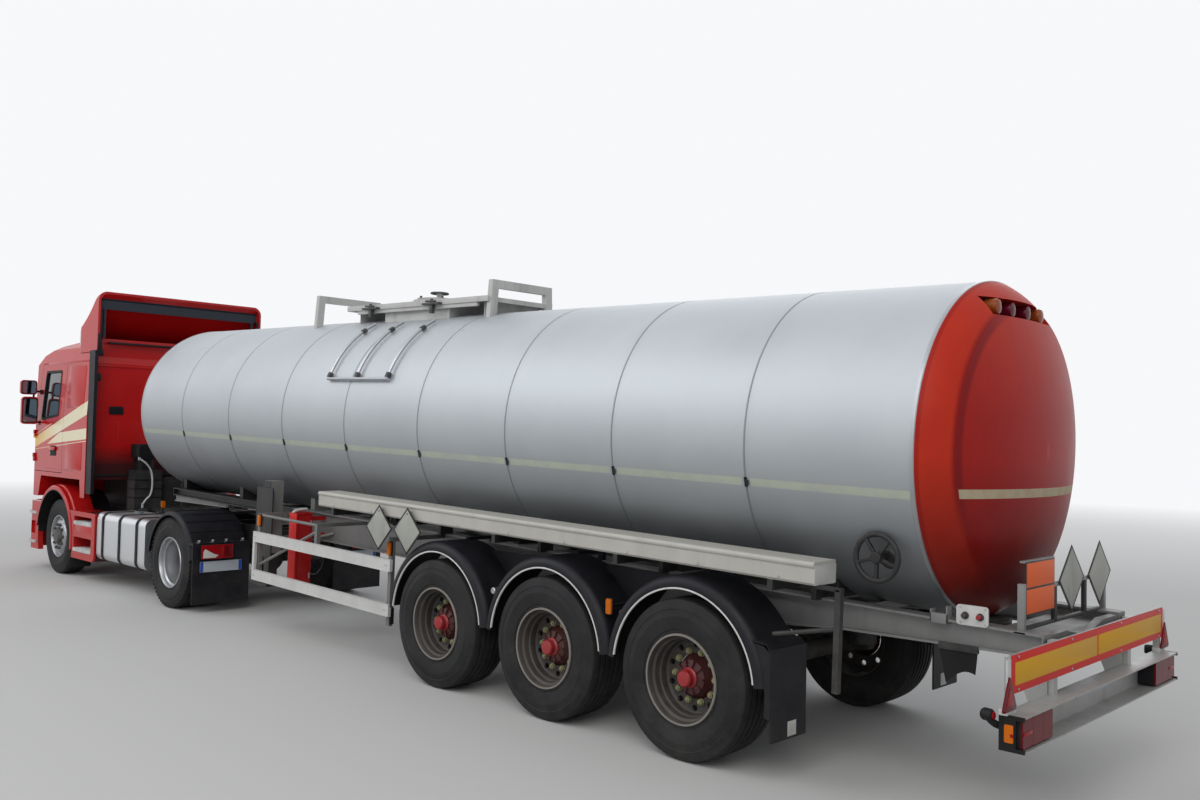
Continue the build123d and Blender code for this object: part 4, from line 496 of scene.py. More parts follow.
FINISH = {
    "cab_red": red_of_the_cab(),
    "red": paint("red paint", (0.36, 0.008, 0.009), 0.3, 0.2, 0.12, 1.2),
    "mirror_red": paint("mirror red", (0.45, 0.008, 0.009), 0.25, 0.3, 0.0),
    "dome": dome_red(),
    "clad": clad_sheet(),
    "tyre": tyre_rubber(),
    "plastic": moulded("black plastic", (0.006, 0.006, 0.009), 0.42, 0.07),
    "rubber": moulded("flap rubber", (0.005, 0.005, 0.006), 0.5, 0.06, 1.0, 90.0, 0.12),
    "trim_grey": moulded("grey trim", (0.10, 0.105, 0.11), 0.4, 0.2, 1.3, 200.0, 0.1),
    "tread": moulded("pale tread plate", (0.42, 0.42, 0.41), 0.4, 0.35, 1.2, 60.0, 0.5),
    "black": chassis_black(),
    "cast": chassis_black("greasy casting", (0.018, 0.017, 0.017)),
    "grey": worn_paint("zinc grey", (0.24, 0.24, 0.235), 0.4, 0.3, 0.22, 0.35),
    "frame": worn_paint("beam zinc", (0.22, 0.22, 0.215), 0.4, 0.3, 0.22, 0.3, frame_dark),
    "leg": worn_paint("leg zinc", (0.26, 0.26, 0.25), 0.4, 0.3, 0.2, 0.25, leg_dark),
    "bumper": worn_paint("bumper alloy", (0.42, 0.42, 0.41), 0.35, 0.25, 0.1, 0.4),
    "cream": worn_paint("cream paint", (0.47, 0.455, 0.41), 0.38, 0.10, 0.06, 0.0, box_dark),
    "plank": worn_paint(
        "plank white", (0.60, 0.60, 0.58), 0.38, 0.10, 0.08, 0.0, guard_dark, (0.15, 0.15, 0.145),
    ),
    "white": worn_paint("white paint", (0.66, 0.66, 0.64), 0.4, 0.25, 0.15),
    "top_grey": worn_paint("top gear paint", (0.50, 0.50, 0.48), 0.45, 0.3, 0.12),
    "steel": bare_metal("bright tube", (0.44, 0.45, 0.47), 0.25),
    "alloy": bare_metal("tank alloy", (0.74, 0.76, 0.78), 0.26, (0.08, 1.0, 1.0), 0.15),
    "chrome": bare_metal("lamp bowl", (0.80, 0.81, 0.82), 0.08, (1.0, 1.0, 1.0), 0.05),
    "silver": worn_paint("silver rim paint", (0.40, 0.41, 0.43), 0.3, 0.3, 0.12, 0.75),
    "rim_brown": worn_paint("brown grey rim", (0.036, 0.031, 0.028), 0.55, 0.3, 0.4, 0.1),
    "flange": worn_paint("worn rim flange", (0.26, 0.235, 0.21), 0.4, 0.35, 0.3, 0.4),
    "hub_dark": worn_paint("dark red hub", (0.060, 0.005, 0.006), 0.45, 0.2, 0.15),
    "hub_red": worn_paint("red hub", (0.33, 0.010, 0.016), 0.36, 0.06, 0.03),
    "nut": worn_paint("yellow green nut", (0.30, 0.29, 0.14), 0.5, 0.3, 0.4, 0.2),
    "nut_dark": chassis_black("dark nut", (0.04, 0.04, 0.042)),
    "lens_red": lens("red lens", (0.34, 0.004, 0.008)),
    "lens_dark": lens("dark red lens", (0.150, 0.002, 0.006)),
    "lens_amber": lens("amber lens", (0.62, 0.14, 0.004)),
    "lens_brown": lens("aged amber lens", (0.30, 0.062, 0.010)),
    "lens_wine": lens("aged red lens", (0.115, 0.004, 0.018)),
    "lens_clear": lens("clear lens", (0.66, 0.65, 0.62)),
    "glass": window_glass(),
    "lamp_glass": window_glass("lamp glass", (0.5, 0.52, 0.54), 0.16),
    "mirror": mirror_glass(),
    "cloth": cloth(),
    "orange": paint("plate orange", (0.72, 0.11, 0.016), 0.45, 0.1, 0.1),
    "sign_white": worn_paint("sign white", (0.36, 0.365, 0.33), 0.45, 0.4, 0.1),
    "sign_black": paint("sign black", (0.02, 0.02, 0.02), 0.4, 0.1, 0.1),
    "board_red": paint("board red", (0.56, 0.020, 0.016), 0.42, 0.05, 0.06),
    "board_yellow": paint("board yellow", (0.60, 0.31, 0.008), 0.42, 0.05, 0.06),
    "plate_grey": paint("plate grey", (0.42, 0.46, 0.50), 0.4, 0.2, 0.15),
    "blue": paint("plate blue", (0.02, 0.07, 0.38), 0.4, 0.2, 0.1),
}


# Mesh work
def mesh_of(thing):
    """The finished mesh of an object whose modifiers or bevel are still live."""
    bpy.context.view_layer.update()
    graph = bpy.context.evaluated_depsgraph_get()
    made = bpy.data.meshes.new_from_object(thing.evaluated_get(graph))
    return made


def scratch(mesh):
    thing = bpy.data.objects.new("scratch", mesh)
    bpy.context.scene.collection.objects.link(thing)
    return thing


def clear_scratch(*things):
    for thing in things:
        bpy.data.objects.remove(thing)


def to_mesh(bm, smooth_deg=32):
    """A mesh of a bmesh, with its doubles merged, its faces outwards and its sharp edges kept."""
    bmesh.ops.remove_doubles(bm, verts=bm.verts, dist=1e-6)
    bmesh.ops.recalc_face_normals(bm, faces=bm.faces)
    mesh = bpy.data.meshes.new("form")
    bm.to_mesh(mesh)
    bm.free()
    mesh.shade_smooth()
    mesh.set_sharp_from_angle(angle=math.radians(smooth_deg))
    return mesh


def skin(bm, near, far, closed=True):
    """Faces between two rows of vertices that have as many points."""
    count = len(near)
    for n in range(count if closed else count - 1):
        m = (n + 1) % count
        bm.faces.new((near[n], near[m], far[m], far[n]))


def lathe(profile, steps=64, closed=True, start=0.0, sweep=360.0):
    """Turn a profile of (radius, place along Y) about the Y axis."""
    bm = bmesh.new()
    whole = sweep >= 360
    count = steps if whole else steps + 1
    rings = []
    for n in range(count):
        angle = math.radians(start + sweep * n / steps)
        rings.append([bm.verts.new((r * math.cos(angle), y, r * math.sin(angle))) for r, y in profile])
    for n in range(steps):
        skin(bm, rings[n], rings[(n + 1) % count], closed)
    if closed and not whole:
        bm.faces.new(rings[0])
        bm.faces.new(rings[-1])
    bmesh.ops.dissolve_degenerate(bm, dist=1e-6, edges=bm.edges)
    return to_mesh(bm)


def loop_at(bm, outline, place, axis):
    """An outline's vertices at a place along an axis: it is (x, z) for Y, (y, z) for X and (x, y) for Z."""
    order = {"X": lambda u, v: (place, u, v), "Y": lambda u, v: (u, place, v), "Z": lambda u,
             v: (u, v, place)}
    return [bm.verts.new(order[axis](u, v)) for u, v in outline]


def prism(outline, low, high, axis="Y", bevel=0.0):
    """An outline run between two places along an axis."""
    bm = bmesh.new()
    ends = [loop_at(bm, outline, place, axis) for place in (low, high)]
    for ring in ends:
        bm.faces.new(ring)
    skin(bm, *ends)
    if bevel:
        bmesh.ops.bevel(bm, geom=bm.edges[:], offset=bevel, segments=2, affect="EDGES", profile=0.6)
    return to_mesh(bm)


def corners(u, v):
    """A rectangle's outline."""
    return [(u[0], v[0]), (u[1], v[0]), (u[1], v[1]), (u[0], v[1])]


def slab(x, y, z, bevel=0.004):
    """A bevelled plate or bar between three pairs of limits."""
    return prism(corners(x, z), y[0], y[1], "Y", bevel)


def rounded(u, v, r, steps=5):
    """The outline of a rectangle with round corners."""
    points = []
    corners = ((u[1] - r, v[1] - r, 0), (u[0] + r, v[1] - r, 90), (u[0] + r, v[0] + r, 180),
               (u[1] - r, v[0] + r, 270))
    for cu, cv, turn in corners:
        for n in range(steps + 1):
            angle = math.radians(turn + 90 * n / steps)
            points.append((cu + r * math.cos(angle), cv + r * math.sin(angle)))
    return points


def tile(u, v, r, low, high, axis, bevel=0.0):
    """A flat pad with round corners."""
    return prism(rounded(u, v, r), low, high, axis, bevel)


def pipe(points, r, smooth=True, sides=4):
    """A round bar through points, on a smooth curve or in straight runs."""
    curve = bpy.data.curves.new("pipe", "CURVE")
    curve.dimensions = "3D"
    curve.bevel_depth = r
    curve.bevel_resolution = sides
    curve.use_fill_caps = True
    spline = curve.splines.new("NURBS" if smooth else "POLY")
    spline.points.add(len(points) - 1)
    for point, place in zip(spline.points, points):
        point.co = (*place, 1)
    if smooth:
        spline.order_u = 3
        spline.use_endpoint_u = True
        spline.resolution_u = 8
    thing = scratch(curve)
    mesh = mesh_of(thing)
    clear_scratch(thing)
    return mesh


def disc(r, y, steps=24, bevel=0.003):
    """A short round boss along Y."""
    low, high = y
    profile = [(0, low), (r - bevel, low), (r, low + bevel), (r, high - bevel), (r - bevel, high),
               (0, high)]
    return lathe(profile, steps, closed=False)


def torus(middle, r, sides, steps):
    """A round ring about Y."""
    angles = [math.radians(360 * n / sides) for n in range(sides)]
    return lathe([(middle + r * math.cos(a), r * math.sin(a)) for a in angles], steps)


def band(r, y, steps, start=0.0, sweep=360.0):
    """A ring about Y, or a part of one, between two radii and two places along Y."""
    return lathe([(r[0], y[0]), (r[1], y[0]), (r[1], y[1]), (r[0], y[1])], steps, True, start, sweep)


def placed(mesh, at):
    copy = mesh.copy()
    copy.transform(at)
    if at.determinant() < 0:
        copy.flip_normals()
    return copy


def cut(mesh, *cutters):
    """The mesh with its cutters taken out of it."""
    thing = scratch(mesh)
    tools = []
    for cutter in cutters:
        tool = scratch(cutter)
        tools.append(tool)
        step = thing.modifiers.new("cut", "BOOLEAN")
        step.operation = "DIFFERENCE"
        step.solver = "EXACT"
        step.object = tool
    made = mesh_of(thing)
    clear_scratch(thing, *tools)
    made.shade_smooth()
    made.set_sharp_from_angle(angle=math.radians(32))
    return made


def repeat_tree():
    """A tree that sets copies of a mesh in a row or round an axis."""
    tree = bpy.data.node_groups.new("set in a row", "GeometryNodeTree")
    sides = tree.interface
    sides.new_socket("Geometry", in_out="INPUT", socket_type="NodeSocketGeometry")
    for name, kind in (("Count", "Int"), ("Step", "Vector"), ("Turn", "Vector"), ("Finish", "Material")):
        sides.new_socket(name, in_out="INPUT", socket_type="NodeSocket" + kind)
    sides.new_socket("Geometry", in_out="OUTPUT", socket_type="NodeSocketGeometry")
    into, out = tree.nodes.new("NodeGroupInput"), tree.nodes.new("NodeGroupOutput")
    index = tree.nodes.new("GeometryNodeInputIndex")
    points = tree.nodes.new("GeometryNodePoints")
    place, turn = [tree.nodes.new("ShaderNodeVectorMath") for _ in range(2)]
    euler = tree.nodes.new("FunctionNodeEulerToRotation")
    stand = tree.nodes.new("GeometryNodeInstanceOnPoints")
    real, dress = tree.nodes.new("GeometryNodeRealizeInstances"), tree.nodes.new("GeometryNodeSetMaterial")
    for vector, name in ((place, "Step"), (turn, "Turn")):
        vector.operation = "SCALE"
        tree.links.new(into.outputs[name], vector.inputs[0])
        tree.links.new(index.outputs[0], vector.inputs["Scale"])
    links = (
        (into.outputs["Count"], points.inputs["Count"]), (place.outputs[0], points.inputs["Position"]),
        (turn.outputs[0], euler.inputs[0]), (points.outputs[0], stand.inputs["Points"]),
        (into.outputs["Geometry"], stand.inputs["Instance"]), (euler.outputs[0], stand.inputs["Rotation"]),
        (stand.outputs[0], real.inputs[0]), (real.outputs[0], dress.inputs["Geometry"]),
        (into.outputs["Finish"], dress.inputs["Material"]), (dress.outputs[0], out.inputs[0]),
    )
    for start, end in links:
        tree.links.new(start, end)
    return tree


REPEAT = repeat_tree()


def repeated(mesh, count, step=(0, 0, 0), turn=(0, 0, 0), finish=None):
    """Copies of a mesh, each moved by a step and turned by an angle in degrees from the last."""
    thing = scratch(mesh)
    row = thing.modifiers.new("row", "NODES")
    row.node_group = REPEAT
    values = {"Count": count, "Step": step, "Turn": [math.radians(t) for t in turn],
              "Finish": FINISH.get(finish)}
    for socket in REPEAT.interface.items_tree:
        if socket.name in values and socket.in_out == "INPUT":
            row[socket.identifier] = values[socket.name]
    made = mesh_of(thing)
    clear_scratch(thing)
    return made


class Piece:
    """One named piece: meshes gathered together, each with its finish."""

    def __init__(self, name):
        self.name = name
        self.bm = bmesh.new()
        self.finishes = []

    def add(self, mesh, finish, at=None):
        if finish not in self.finishes:
            self.finishes.append(finish)
        index = self.finishes.index(finish)
        copy = placed(mesh, at or Matrix())
        for face in copy.polygons:
            face.material_index = index
        self.bm.from_mesh(copy)
        bpy.data.meshes.remove(copy)
        return self

    def both(self, mesh, finish, at=None):
        """The mesh on the left side and its mirror image on the right."""
        self.add(mesh, finish, at)
        return self.add(mesh, finish, FLIP_Y @ (at or Matrix()))

    def done(self, body, slot, at=GROUND, replaces=()):
        mesh = bpy.data.meshes.new(self.name)
        self.bm.to_mesh(mesh)
        self.bm.free()
        mesh.transform(at)
        for finish in self.finishes:
            mesh.materials.append(FINISH[finish])
        thing = bpy.data.objects.new(self.name, mesh)
        bpy.context.scene.collection.objects.link(thing)
        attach(thing, body)
        if replaces:
            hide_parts(*replaces)
        return thing


# Wheels, about their own axle with the outside towards +Y
TYRE_R = 0.525
SEAT_R = 0.286
TRAILER_TYRE = 0.385
FRONT_TYRE = 0.300
DRIVE_TYRE = 0.290
TWIN_INNER_Y = 0.755
TWIN_OUTER_Y = 1.09
NUT_CIRCLE = 0.1675
NUTS = 10
TRAILER_AXLES_X = (0.0, 1.310, 2.620)
FRONT_AXLE_X = 11.495
DRIVE_AXLE_X = 7.721


def tyre_mesh(width, grooves, groove_w=0.011, groove_deep=0.014):
    """A truck tyre's section: beads, bulged walls, round shoulders and a grooved tread."""
    half = width / 2
    wall = [
        (SEAT_R, half - 0.045), (SEAT_R + 0.002, half - 0.026), (SEAT_R + 0.016, half - 0.018),
        (SEAT_R + 0.030, half - 0.019), (SEAT_R + 0.034, half - 0.013), (SEAT_R + 0.075, half - 0.003),
        (SEAT_R + 0.112, half - 0.0005), (SEAT_R + 0.116, half), (SEAT_R + 0.124, half),
        (SEAT_R + 0.128, half - 0.0015), (SEAT_R + 0.165, half - 0.007), (SEAT_R + 0.169, half - 0.0045),
        (SEAT_R + 0.186, half - 0.010), (TYRE_R - 0.030, half - 0.016), (TYRE_R - 0.012, half - 0.023),
        (TYRE_R - 0.005, half - 0.036),
    ]
    tread = []
    edge = half - 0.04
    for n in range(grooves):
        middle = edge - 2 * edge * (n + 1) / (grooves + 1)
        crown = TYRE_R - 0.004 * abs(middle) / edge
        tread += [
            (crown, middle + groove_w), (crown - groove_deep, middle + groove_w * 0.6),
            (crown - groove_deep, middle - groove_w * 0.6), (crown, middle - groove_w),
        ]
    return lathe(wall + tread + [(r, -y) for r, y in reversed(wall)], 88)


def shoulder_lugs(width, count):
    """Short raised blocks round a tyre's outer shoulder."""
    half = width / 2
    lug = slab((TYRE_R - 0.034, TYRE_R - 0.0065), (half - 0.034, half - 0.012), (-0.012, 0.012), 0.0)
    return repeated(lug, count, turn=(0, 360 / count, 0), finish="tyre")


def nut_ring(y, size=0.021, tall=0.03):
    """Wheel nuts with their washers and the ends of their studs."""
    r = NUT_CIRCLE
    hexagon = [(r + size * math.cos(math.radians(60 * n)),
                size * math.sin(math.radians(60 * n))) for n in range(6)]
    nut = prism(hexagon, y + 0.004, y + tall * 0.7, "Y", 0.002)
    washer = placed(disc(size * 1.15, (y, y + 0.005), 12, 0.001), at(r, 0, 0))
    stud = placed(disc(size * 0.52, (y, y + tall), 10, 0.002), at(r, 0, 0))
    return [repeated(m, NUTS, turn=(0, 360 / NUTS, 0), finish="nut") for m in (nut, washer, stud)]


def hand_holes(mesh, r, size, face):
    """A rim's disc with a round hole between each two of its nuts."""
    hole = placed(disc(size, (face - 0.06, face + 0.04), 16, 0.0), at(r, 0, 0))
    cutter = repeated(hole, NUTS, turn=(0, 360 / NUTS, 0), finish="nut")
    return cut(mesh, placed(cutter, turned(180 / NUTS, "Y")))


def flange_start(out):
    """The first points of a rim's profile: the outer flange that holds the tyre."""
    return [(SEAT_R + 0.010, out + 0.004), (SEAT_R + 0.006, out + 0.012), (SEAT_R - 0.004, out + 0.012)]


def dish(width, face, disc_r=0.150):
    """A deep single rim: flange, stepped well, disc and its centre hole."""
    out = width / 2 - 0.022
    inner = -width / 2 + 0.022
    disc_y = width / 2 - 0.024 - face
    profile = flange_start(out) + [
        (SEAT_R - 0.010, out + 0.004), (SEAT_R - 0.014, out - 0.028), (SEAT_R - 0.030, out - 0.040),
        (SEAT_R - 0.034, out - 0.078), (SEAT_R - 0.044, out - 0.090), (SEAT_R - 0.048, disc_y + 0.018),
        (SEAT_R - 0.064, disc_y + 0.004), (0.200, disc_y + 0.001), (disc_r, disc_y),
        (disc_r, disc_y - 0.012),
        (0.200, disc_y - 0.012), (SEAT_R - 0.050, disc_y - 0.012), (SEAT_R - 0.012, disc_y - 0.04),
        (SEAT_R - 0.010, inner), (SEAT_R, inner), (SEAT_R - 0.001, out - 0.01),
    ]
    return lathe(profile, 72), disc_y


def flange_ring(out):
    """The bright edge of a rim, just proud of its flange."""
    return lathe([
        (SEAT_R + 0.0105, out + 0.004), (SEAT_R + 0.0065, out + 0.0130), (SEAT_R - 0.0045, out + 0.0130),
        (SEAT_R - 0.0065, out + 0.008), (SEAT_R - 0.002, out + 0.006),
    ], 72)


def trailer_wheel():
    rim, face = dish(TRAILER_TYRE, 0.150)
    rim = hand_holes(rim, 0.208, 0.021, face)
    drum = lathe([
        (0.150, face - 0.02), (0.134, face + 0.004), (0.120, face + 0.026), (0.112, face + 0.050),
        (0.076, face + 0.060), (0.062, face + 0.062), (0.0, face + 0.062),
    ], 48, closed=False)
    cap = lathe([
        (0.064, face + 0.058), (0.066, face + 0.072), (0.058, face + 0.078), (0.054, face + 0.084),
        (0.053, face + 0.122), (0.046, face + 0.132), (0.022, face + 0.135), (0.0, face + 0.135),
    ], 40, closed=False)
    rib = slab((0.066, 0.114), (face + 0.010, face + 0.072), (-0.004, 0.004), 0.0015)
    ribs = repeated(rib, 10, turn=(0, 36, 0), finish="hub_dark")
    fittings = [("hub_dark", drum), ("hub_dark", ribs), ("hub_red", cap)]
    fittings.append(("flange", flange_ring(TRAILER_TYRE / 2 - 0.022)))
    return rim, fittings + [("nut", m) for m in nut_ring(face + 0.001)]


def front_wheel():
    out = FRONT_TYRE / 2 - 0.024
    profile = flange_start(out) + [
        (SEAT_R - 0.012, out), (SEAT_R - 0.020, out - 0.030), (SEAT_R - 0.045, out - 0.036),
        (0.225, out - 0.010), (0.205, out + 0.002), (0.130, out + 0.002), (0.125, out - 0.010),
        (0.125, out - 0.030), (0.220, out - 0.030), (SEAT_R - 0.012, out - 0.060), (SEAT_R - 0.010, -out),
        (SEAT_R, -out), (SEAT_R - 0.001, out - 0.01),
    ]
    rim = hand_holes(lathe(profile, 72), 0.2335, 0.017, out)
    hub = lathe([
        (0.128, out - 0.03), (0.112, out + 0.002), (0.108, out + 0.022), (0.098, out + 0.034),
        (0.094, out + 0.044),
        (0.060, out + 0.048), (0.0, out + 0.049),
    ], 40, closed=False)
    return rim, [("nut_dark", hub)] + [("nut_dark", m) for m in nut_ring(out + 0.002, 0.022, 0.036)]


def twin_wheel():
    """Both rims of a drive wheel: the outer one a deep dish, with the hub and its planet cover."""
    out = TWIN_OUTER_Y + DRIVE_TYRE / 2 - 0.024
    inner = TWIN_INNER_Y - DRIVE_TYRE / 2 + 0.024
    face = 0.9375
    profile = flange_start(out) + [
        (SEAT_R - 0.012, out + 0.002), (SEAT_R - 0.018, out - 0.030), (SEAT_R - 0.036, out - 0.044),
        (SEAT_R - 0.040, out - 0.090), (SEAT_R - 0.052, out - 0.120), (SEAT_R - 0.056, face + 0.030),
        (SEAT_R - 0.072, face + 0.008), (0.205, face), (0.145, face), (0.145, face - 0.024),
        (0.205, face - 0.024),
        (SEAT_R - 0.056, face - 0.03), (SEAT_R - 0.012, face - 0.06), (SEAT_R - 0.010, inner),
        (SEAT_R, inner),
        (SEAT_R - 0.001, out - 0.01),
    ]
    rim = hand_holes(lathe(profile, 72), 0.2105, 0.019, face)
    hub = lathe([
        (0.150, face - 0.03), (0.138, face + 0.006), (0.136, face + 0.060), (0.128, face + 0.074),
        (0.096, face + 0.084), (0.090, face + 0.094), (0.0, face + 0.095),
    ], 40, closed=False)
    bolts = repeated(placed(disc(0.009, (face + 0.076, face + 0.088), 8), at(0.112, 0, 0)), 12,
                     turn=(0, 30, 0), finish="nut_dark")
    parts = [("nut_dark", hub), ("nut_dark", bolts)]
    return rim, parts + [("nut_dark", m) for m in nut_ring(face + 0.001, 0.022, 0.036)]


# Wheels: name, place along X, middle of the tyre, its width, grooves, shoulder lugs, rim finish, rim slot
WHEELS = (
    ("trailer1", TRAILER_AXLES_X[2], 1.057, TRAILER_TYRE, 5, 0, "rim_brown", "trailer_rim"),
    ("trailer2", TRAILER_AXLES_X[1], 1.057, TRAILER_TYRE, 5, 0, "rim_brown", "trailer_rim"),
    ("trailer3", TRAILER_AXLES_X[0], 1.057, TRAILER_TYRE, 5, 0, "rim_brown", "trailer_rim"),
    ("front", FRONT_AXLE_X, 1.035, FRONT_TYRE, 4, 0, "silver", "tractor_rim"),
    ("drive", DRIVE_AXLE_X, 0.0, DRIVE_TYRE, 4, 60, "silver", "tractor_rim"),
)


def add_wheels():
    made = {"trailer": trailer_wheel(), "front": front_wheel(), "drive": twin_wheel()}
    tyres = {}
    for name, x, y, width, grooves, lugs, finish, slot in WHEELS:
        if width not in tyres:
            tyres[width] = tyre_mesh(width, grooves)
        rim, fittings = made[name.rstrip("123")]
        for side, turn in (("left", 0), ("right", 180)):
            about = at(x, 0, TYRE_R) @ turned(turn, "Z")
            body = f"{name}_wheel_{side}"
            middles = (TWIN_INNER_Y, TWIN_OUTER_Y) if name == "drive" else (y,)
            tyre = Piece(f"{name}_tread_{side}")
            for place in middles:
                middle = about @ at(0, place, 0)
                tyre.add(tyres[width], "tyre", middle)
                if lugs:
                    ring = shoulder_lugs(width, lugs)
                    tyre.add(ring, "tyre", middle)
                    tyre.add(ring, "tyre", middle @ FLIP_Y)
            tyre.done(body, "tyre", GROUND, (f"{name}_tyre_{side}",))
            wheel = Piece(f"{name}_disc_{side}")
            middle = about @ at(0, y, 0)
            wheel.add(rim, finish, middle)
            for part_finish, mesh in fittings:
                wheel.add(mesh, part_finish, middle)
            wheel.done(body, slot, GROUND, (f"{name}_rim_{side}",))


add_wheels()

# CAD nodes that keep their shape and take a finish
NODE_FINISH = {
    "cab_red": ("cab_shell", "door_left", "door_right", "roof_deflector", "grille", "front_bumper",
                "front_arches"),
    "red": ("tool_cabinet",),
    "dome": ("rear_dome",),
    "clad": ("tank_shell",),
    "plastic": ("trailer_mudguards", "drive_mudguards", "side_extenders"),
    "black": ("tractor_frame", "tractor_axles", "trailer_axles", "tie_rod"),
    "cast": ("fifth_wheel", "powertrain", "knuckle_left", "knuckle_right", "outlet_gear"),
    "frame": ("trailer_frame",),
    "leg": ("landing_legs",),
    "grey": ("kingpin_plate",),
    "bumper": ("rear_bumper",),
    "cream": ("side_boxes",),
    "plank": ("side_guards",),
    "top_grey": ("top_gear", "manhole_lid"),
    "steel": ("drip_tubes",),
    "alloy": ("fuel_tanks",),
    "glass": ("windscreen", "door_glass_left", "door_glass_right"),
}
for finish, names in NODE_FINISH.items():
    for name in names:
        materials = nodes[name].data.materials
        materials.clear()
        materials.append(FINISH[finish])


def hoop(outer, inner, low, high, axis="X"):
    """A band between two outlines that have as many points, run between two places along an axis."""
    bm = bmesh.new()
    ends = ((outer, low), (outer, high), (inner, high), (inner, low))
    rings = [loop_at(bm, outline, place, axis) for outline, place in ends]
    for near, far in zip(rings, rings[1:] + rings[:1]):
        skin(bm, near, far)
    return to_mesh(bm)


def upright(r, z, steps=20, bevel=0.003):
    """A short round post along Z."""
    return placed(disc(r, z, steps, bevel), turned(90, "X"))


def lying(r, x, steps=20, bevel=0.003):
    """A short round post along X."""
    return placed(disc(r, x, steps, bevel), turned(-90, "Z"))


# The cab's nose in plan: a bowed front that turns into each side
NOSE_R = 2.5535
NOSE_X = 12.865 - NOSE_R
CORNER = ((12.38, 1.22), (12.55, 1.175), (12.63, 1.07))


def circle_through(a, b, c):
    """The middle of the circle through three points."""
    d = 2 * (a[0] * (b[1] - c[1]) + b[0] * (c[1] - a[1]) + c[0] * (a[1] - b[1]))
    squares = [p[0] ** 2 + p[1] ** 2 for p in (a, b, c)]
    u = (squares[0] * (b[1] - c[1]) + squares[1] * (c[1] - a[1]) + squares[2] * (a[1] - b[1])) / d
    v = (squares[0] * (c[0] - b[0]) + squares[1] * (a[0] - c[0]) + squares[2] * (b[0] - a[0])) / d
    return u, v


def nose_point(y, out):
    """The point of the nose's outline at a place across, moved out by a distance."""
    if abs(y) <= CORNER[2][1]:
        angle = math.asin(y / NOSE_R)
        return NOSE_X + (NOSE_R + out) * math.cos(angle), (NOSE_R + out) * math.sin(angle)
    u, v = circle_through(*CORNER)
    r = math.dist((u, v), CORNER[0])
    angle = math.asin(max(-1.0, min(1.0, (abs(y) - v) / r)))
    return u + (r + out) * math.cos(angle), math.copysign(v + (r + out) * math.sin(angle), y)


def nose_band(y, z, out, steps=24, bevel=0.0):
    """A bar that follows the nose between two places across, two heights and two distances out."""
    places = [y[0] + (y[1] - y[0]) * n / steps for n in range(steps + 1)]
    outline = [nose_point(p, out[1]) for p in places] + [nose_point(p, out[0]) for p in reversed(places)]
    return prism(outline, z[0], z[1], "Z", bevel)


def leaned(mesh):
    """Lean a piece in with the cab's side, which falls in over its belt line."""
    copy = mesh.copy()
    for vertex in copy.vertices:
        if vertex.co.z > 2.25:
            vertex.co.y -= 0.0533 * (vertex.co.z - 2.25)
    return copy


# The window opening's corners, forward and up
WINDOW = ((11.54, 2.24), (12.20, 2.18), (12.14, 2.86), (11.54, 2.86))


def grown(outline, by):
    """A convex outline with its edges moved out by a distance, its corners kept sharp."""
    middle = Vector((sum(p[0] for p in outline), sum(p[1] for p in outline))) / len(outline)
    lines = []
    for n, start in enumerate(outline):
        end = outline[(n + 1) % len(outline)]
        normal = Vector((end[1] - start[1], start[0] - end[0])).normalized()
        if normal.dot(Vector(start) - middle) < 0:
            normal = -normal
        lines.append((normal, normal.dot(Vector(start)) + by))
    points = []
    for n in range(len(lines)):
        (a, c), (b, d) = lines[n - 1], lines[n]
        cross = a.x * b.y - a.y * b.x
        points.append(((c * b.y - d * a.y) / cross, (d * a.x - c * b.x) / cross))
    return points


def softened(outline, r, steps=5):
    """An outline with each corner turned by a short arc."""
    points = []
    count = len(outline)
    for n in range(count):
        before, corner, after = [Vector(outline[(n + k) % count]) for k in (-1, 0, 1)]
        start = corner + (before - corner).normalized() * r
        end = corner + (after - corner).normalized() * r
        for k in range(steps + 1):
            t = k / steps
            points.append(tuple(start * (1 - t) ** 2 + corner * 2 * t * (1 - t) + end * t ** 2))
    return points


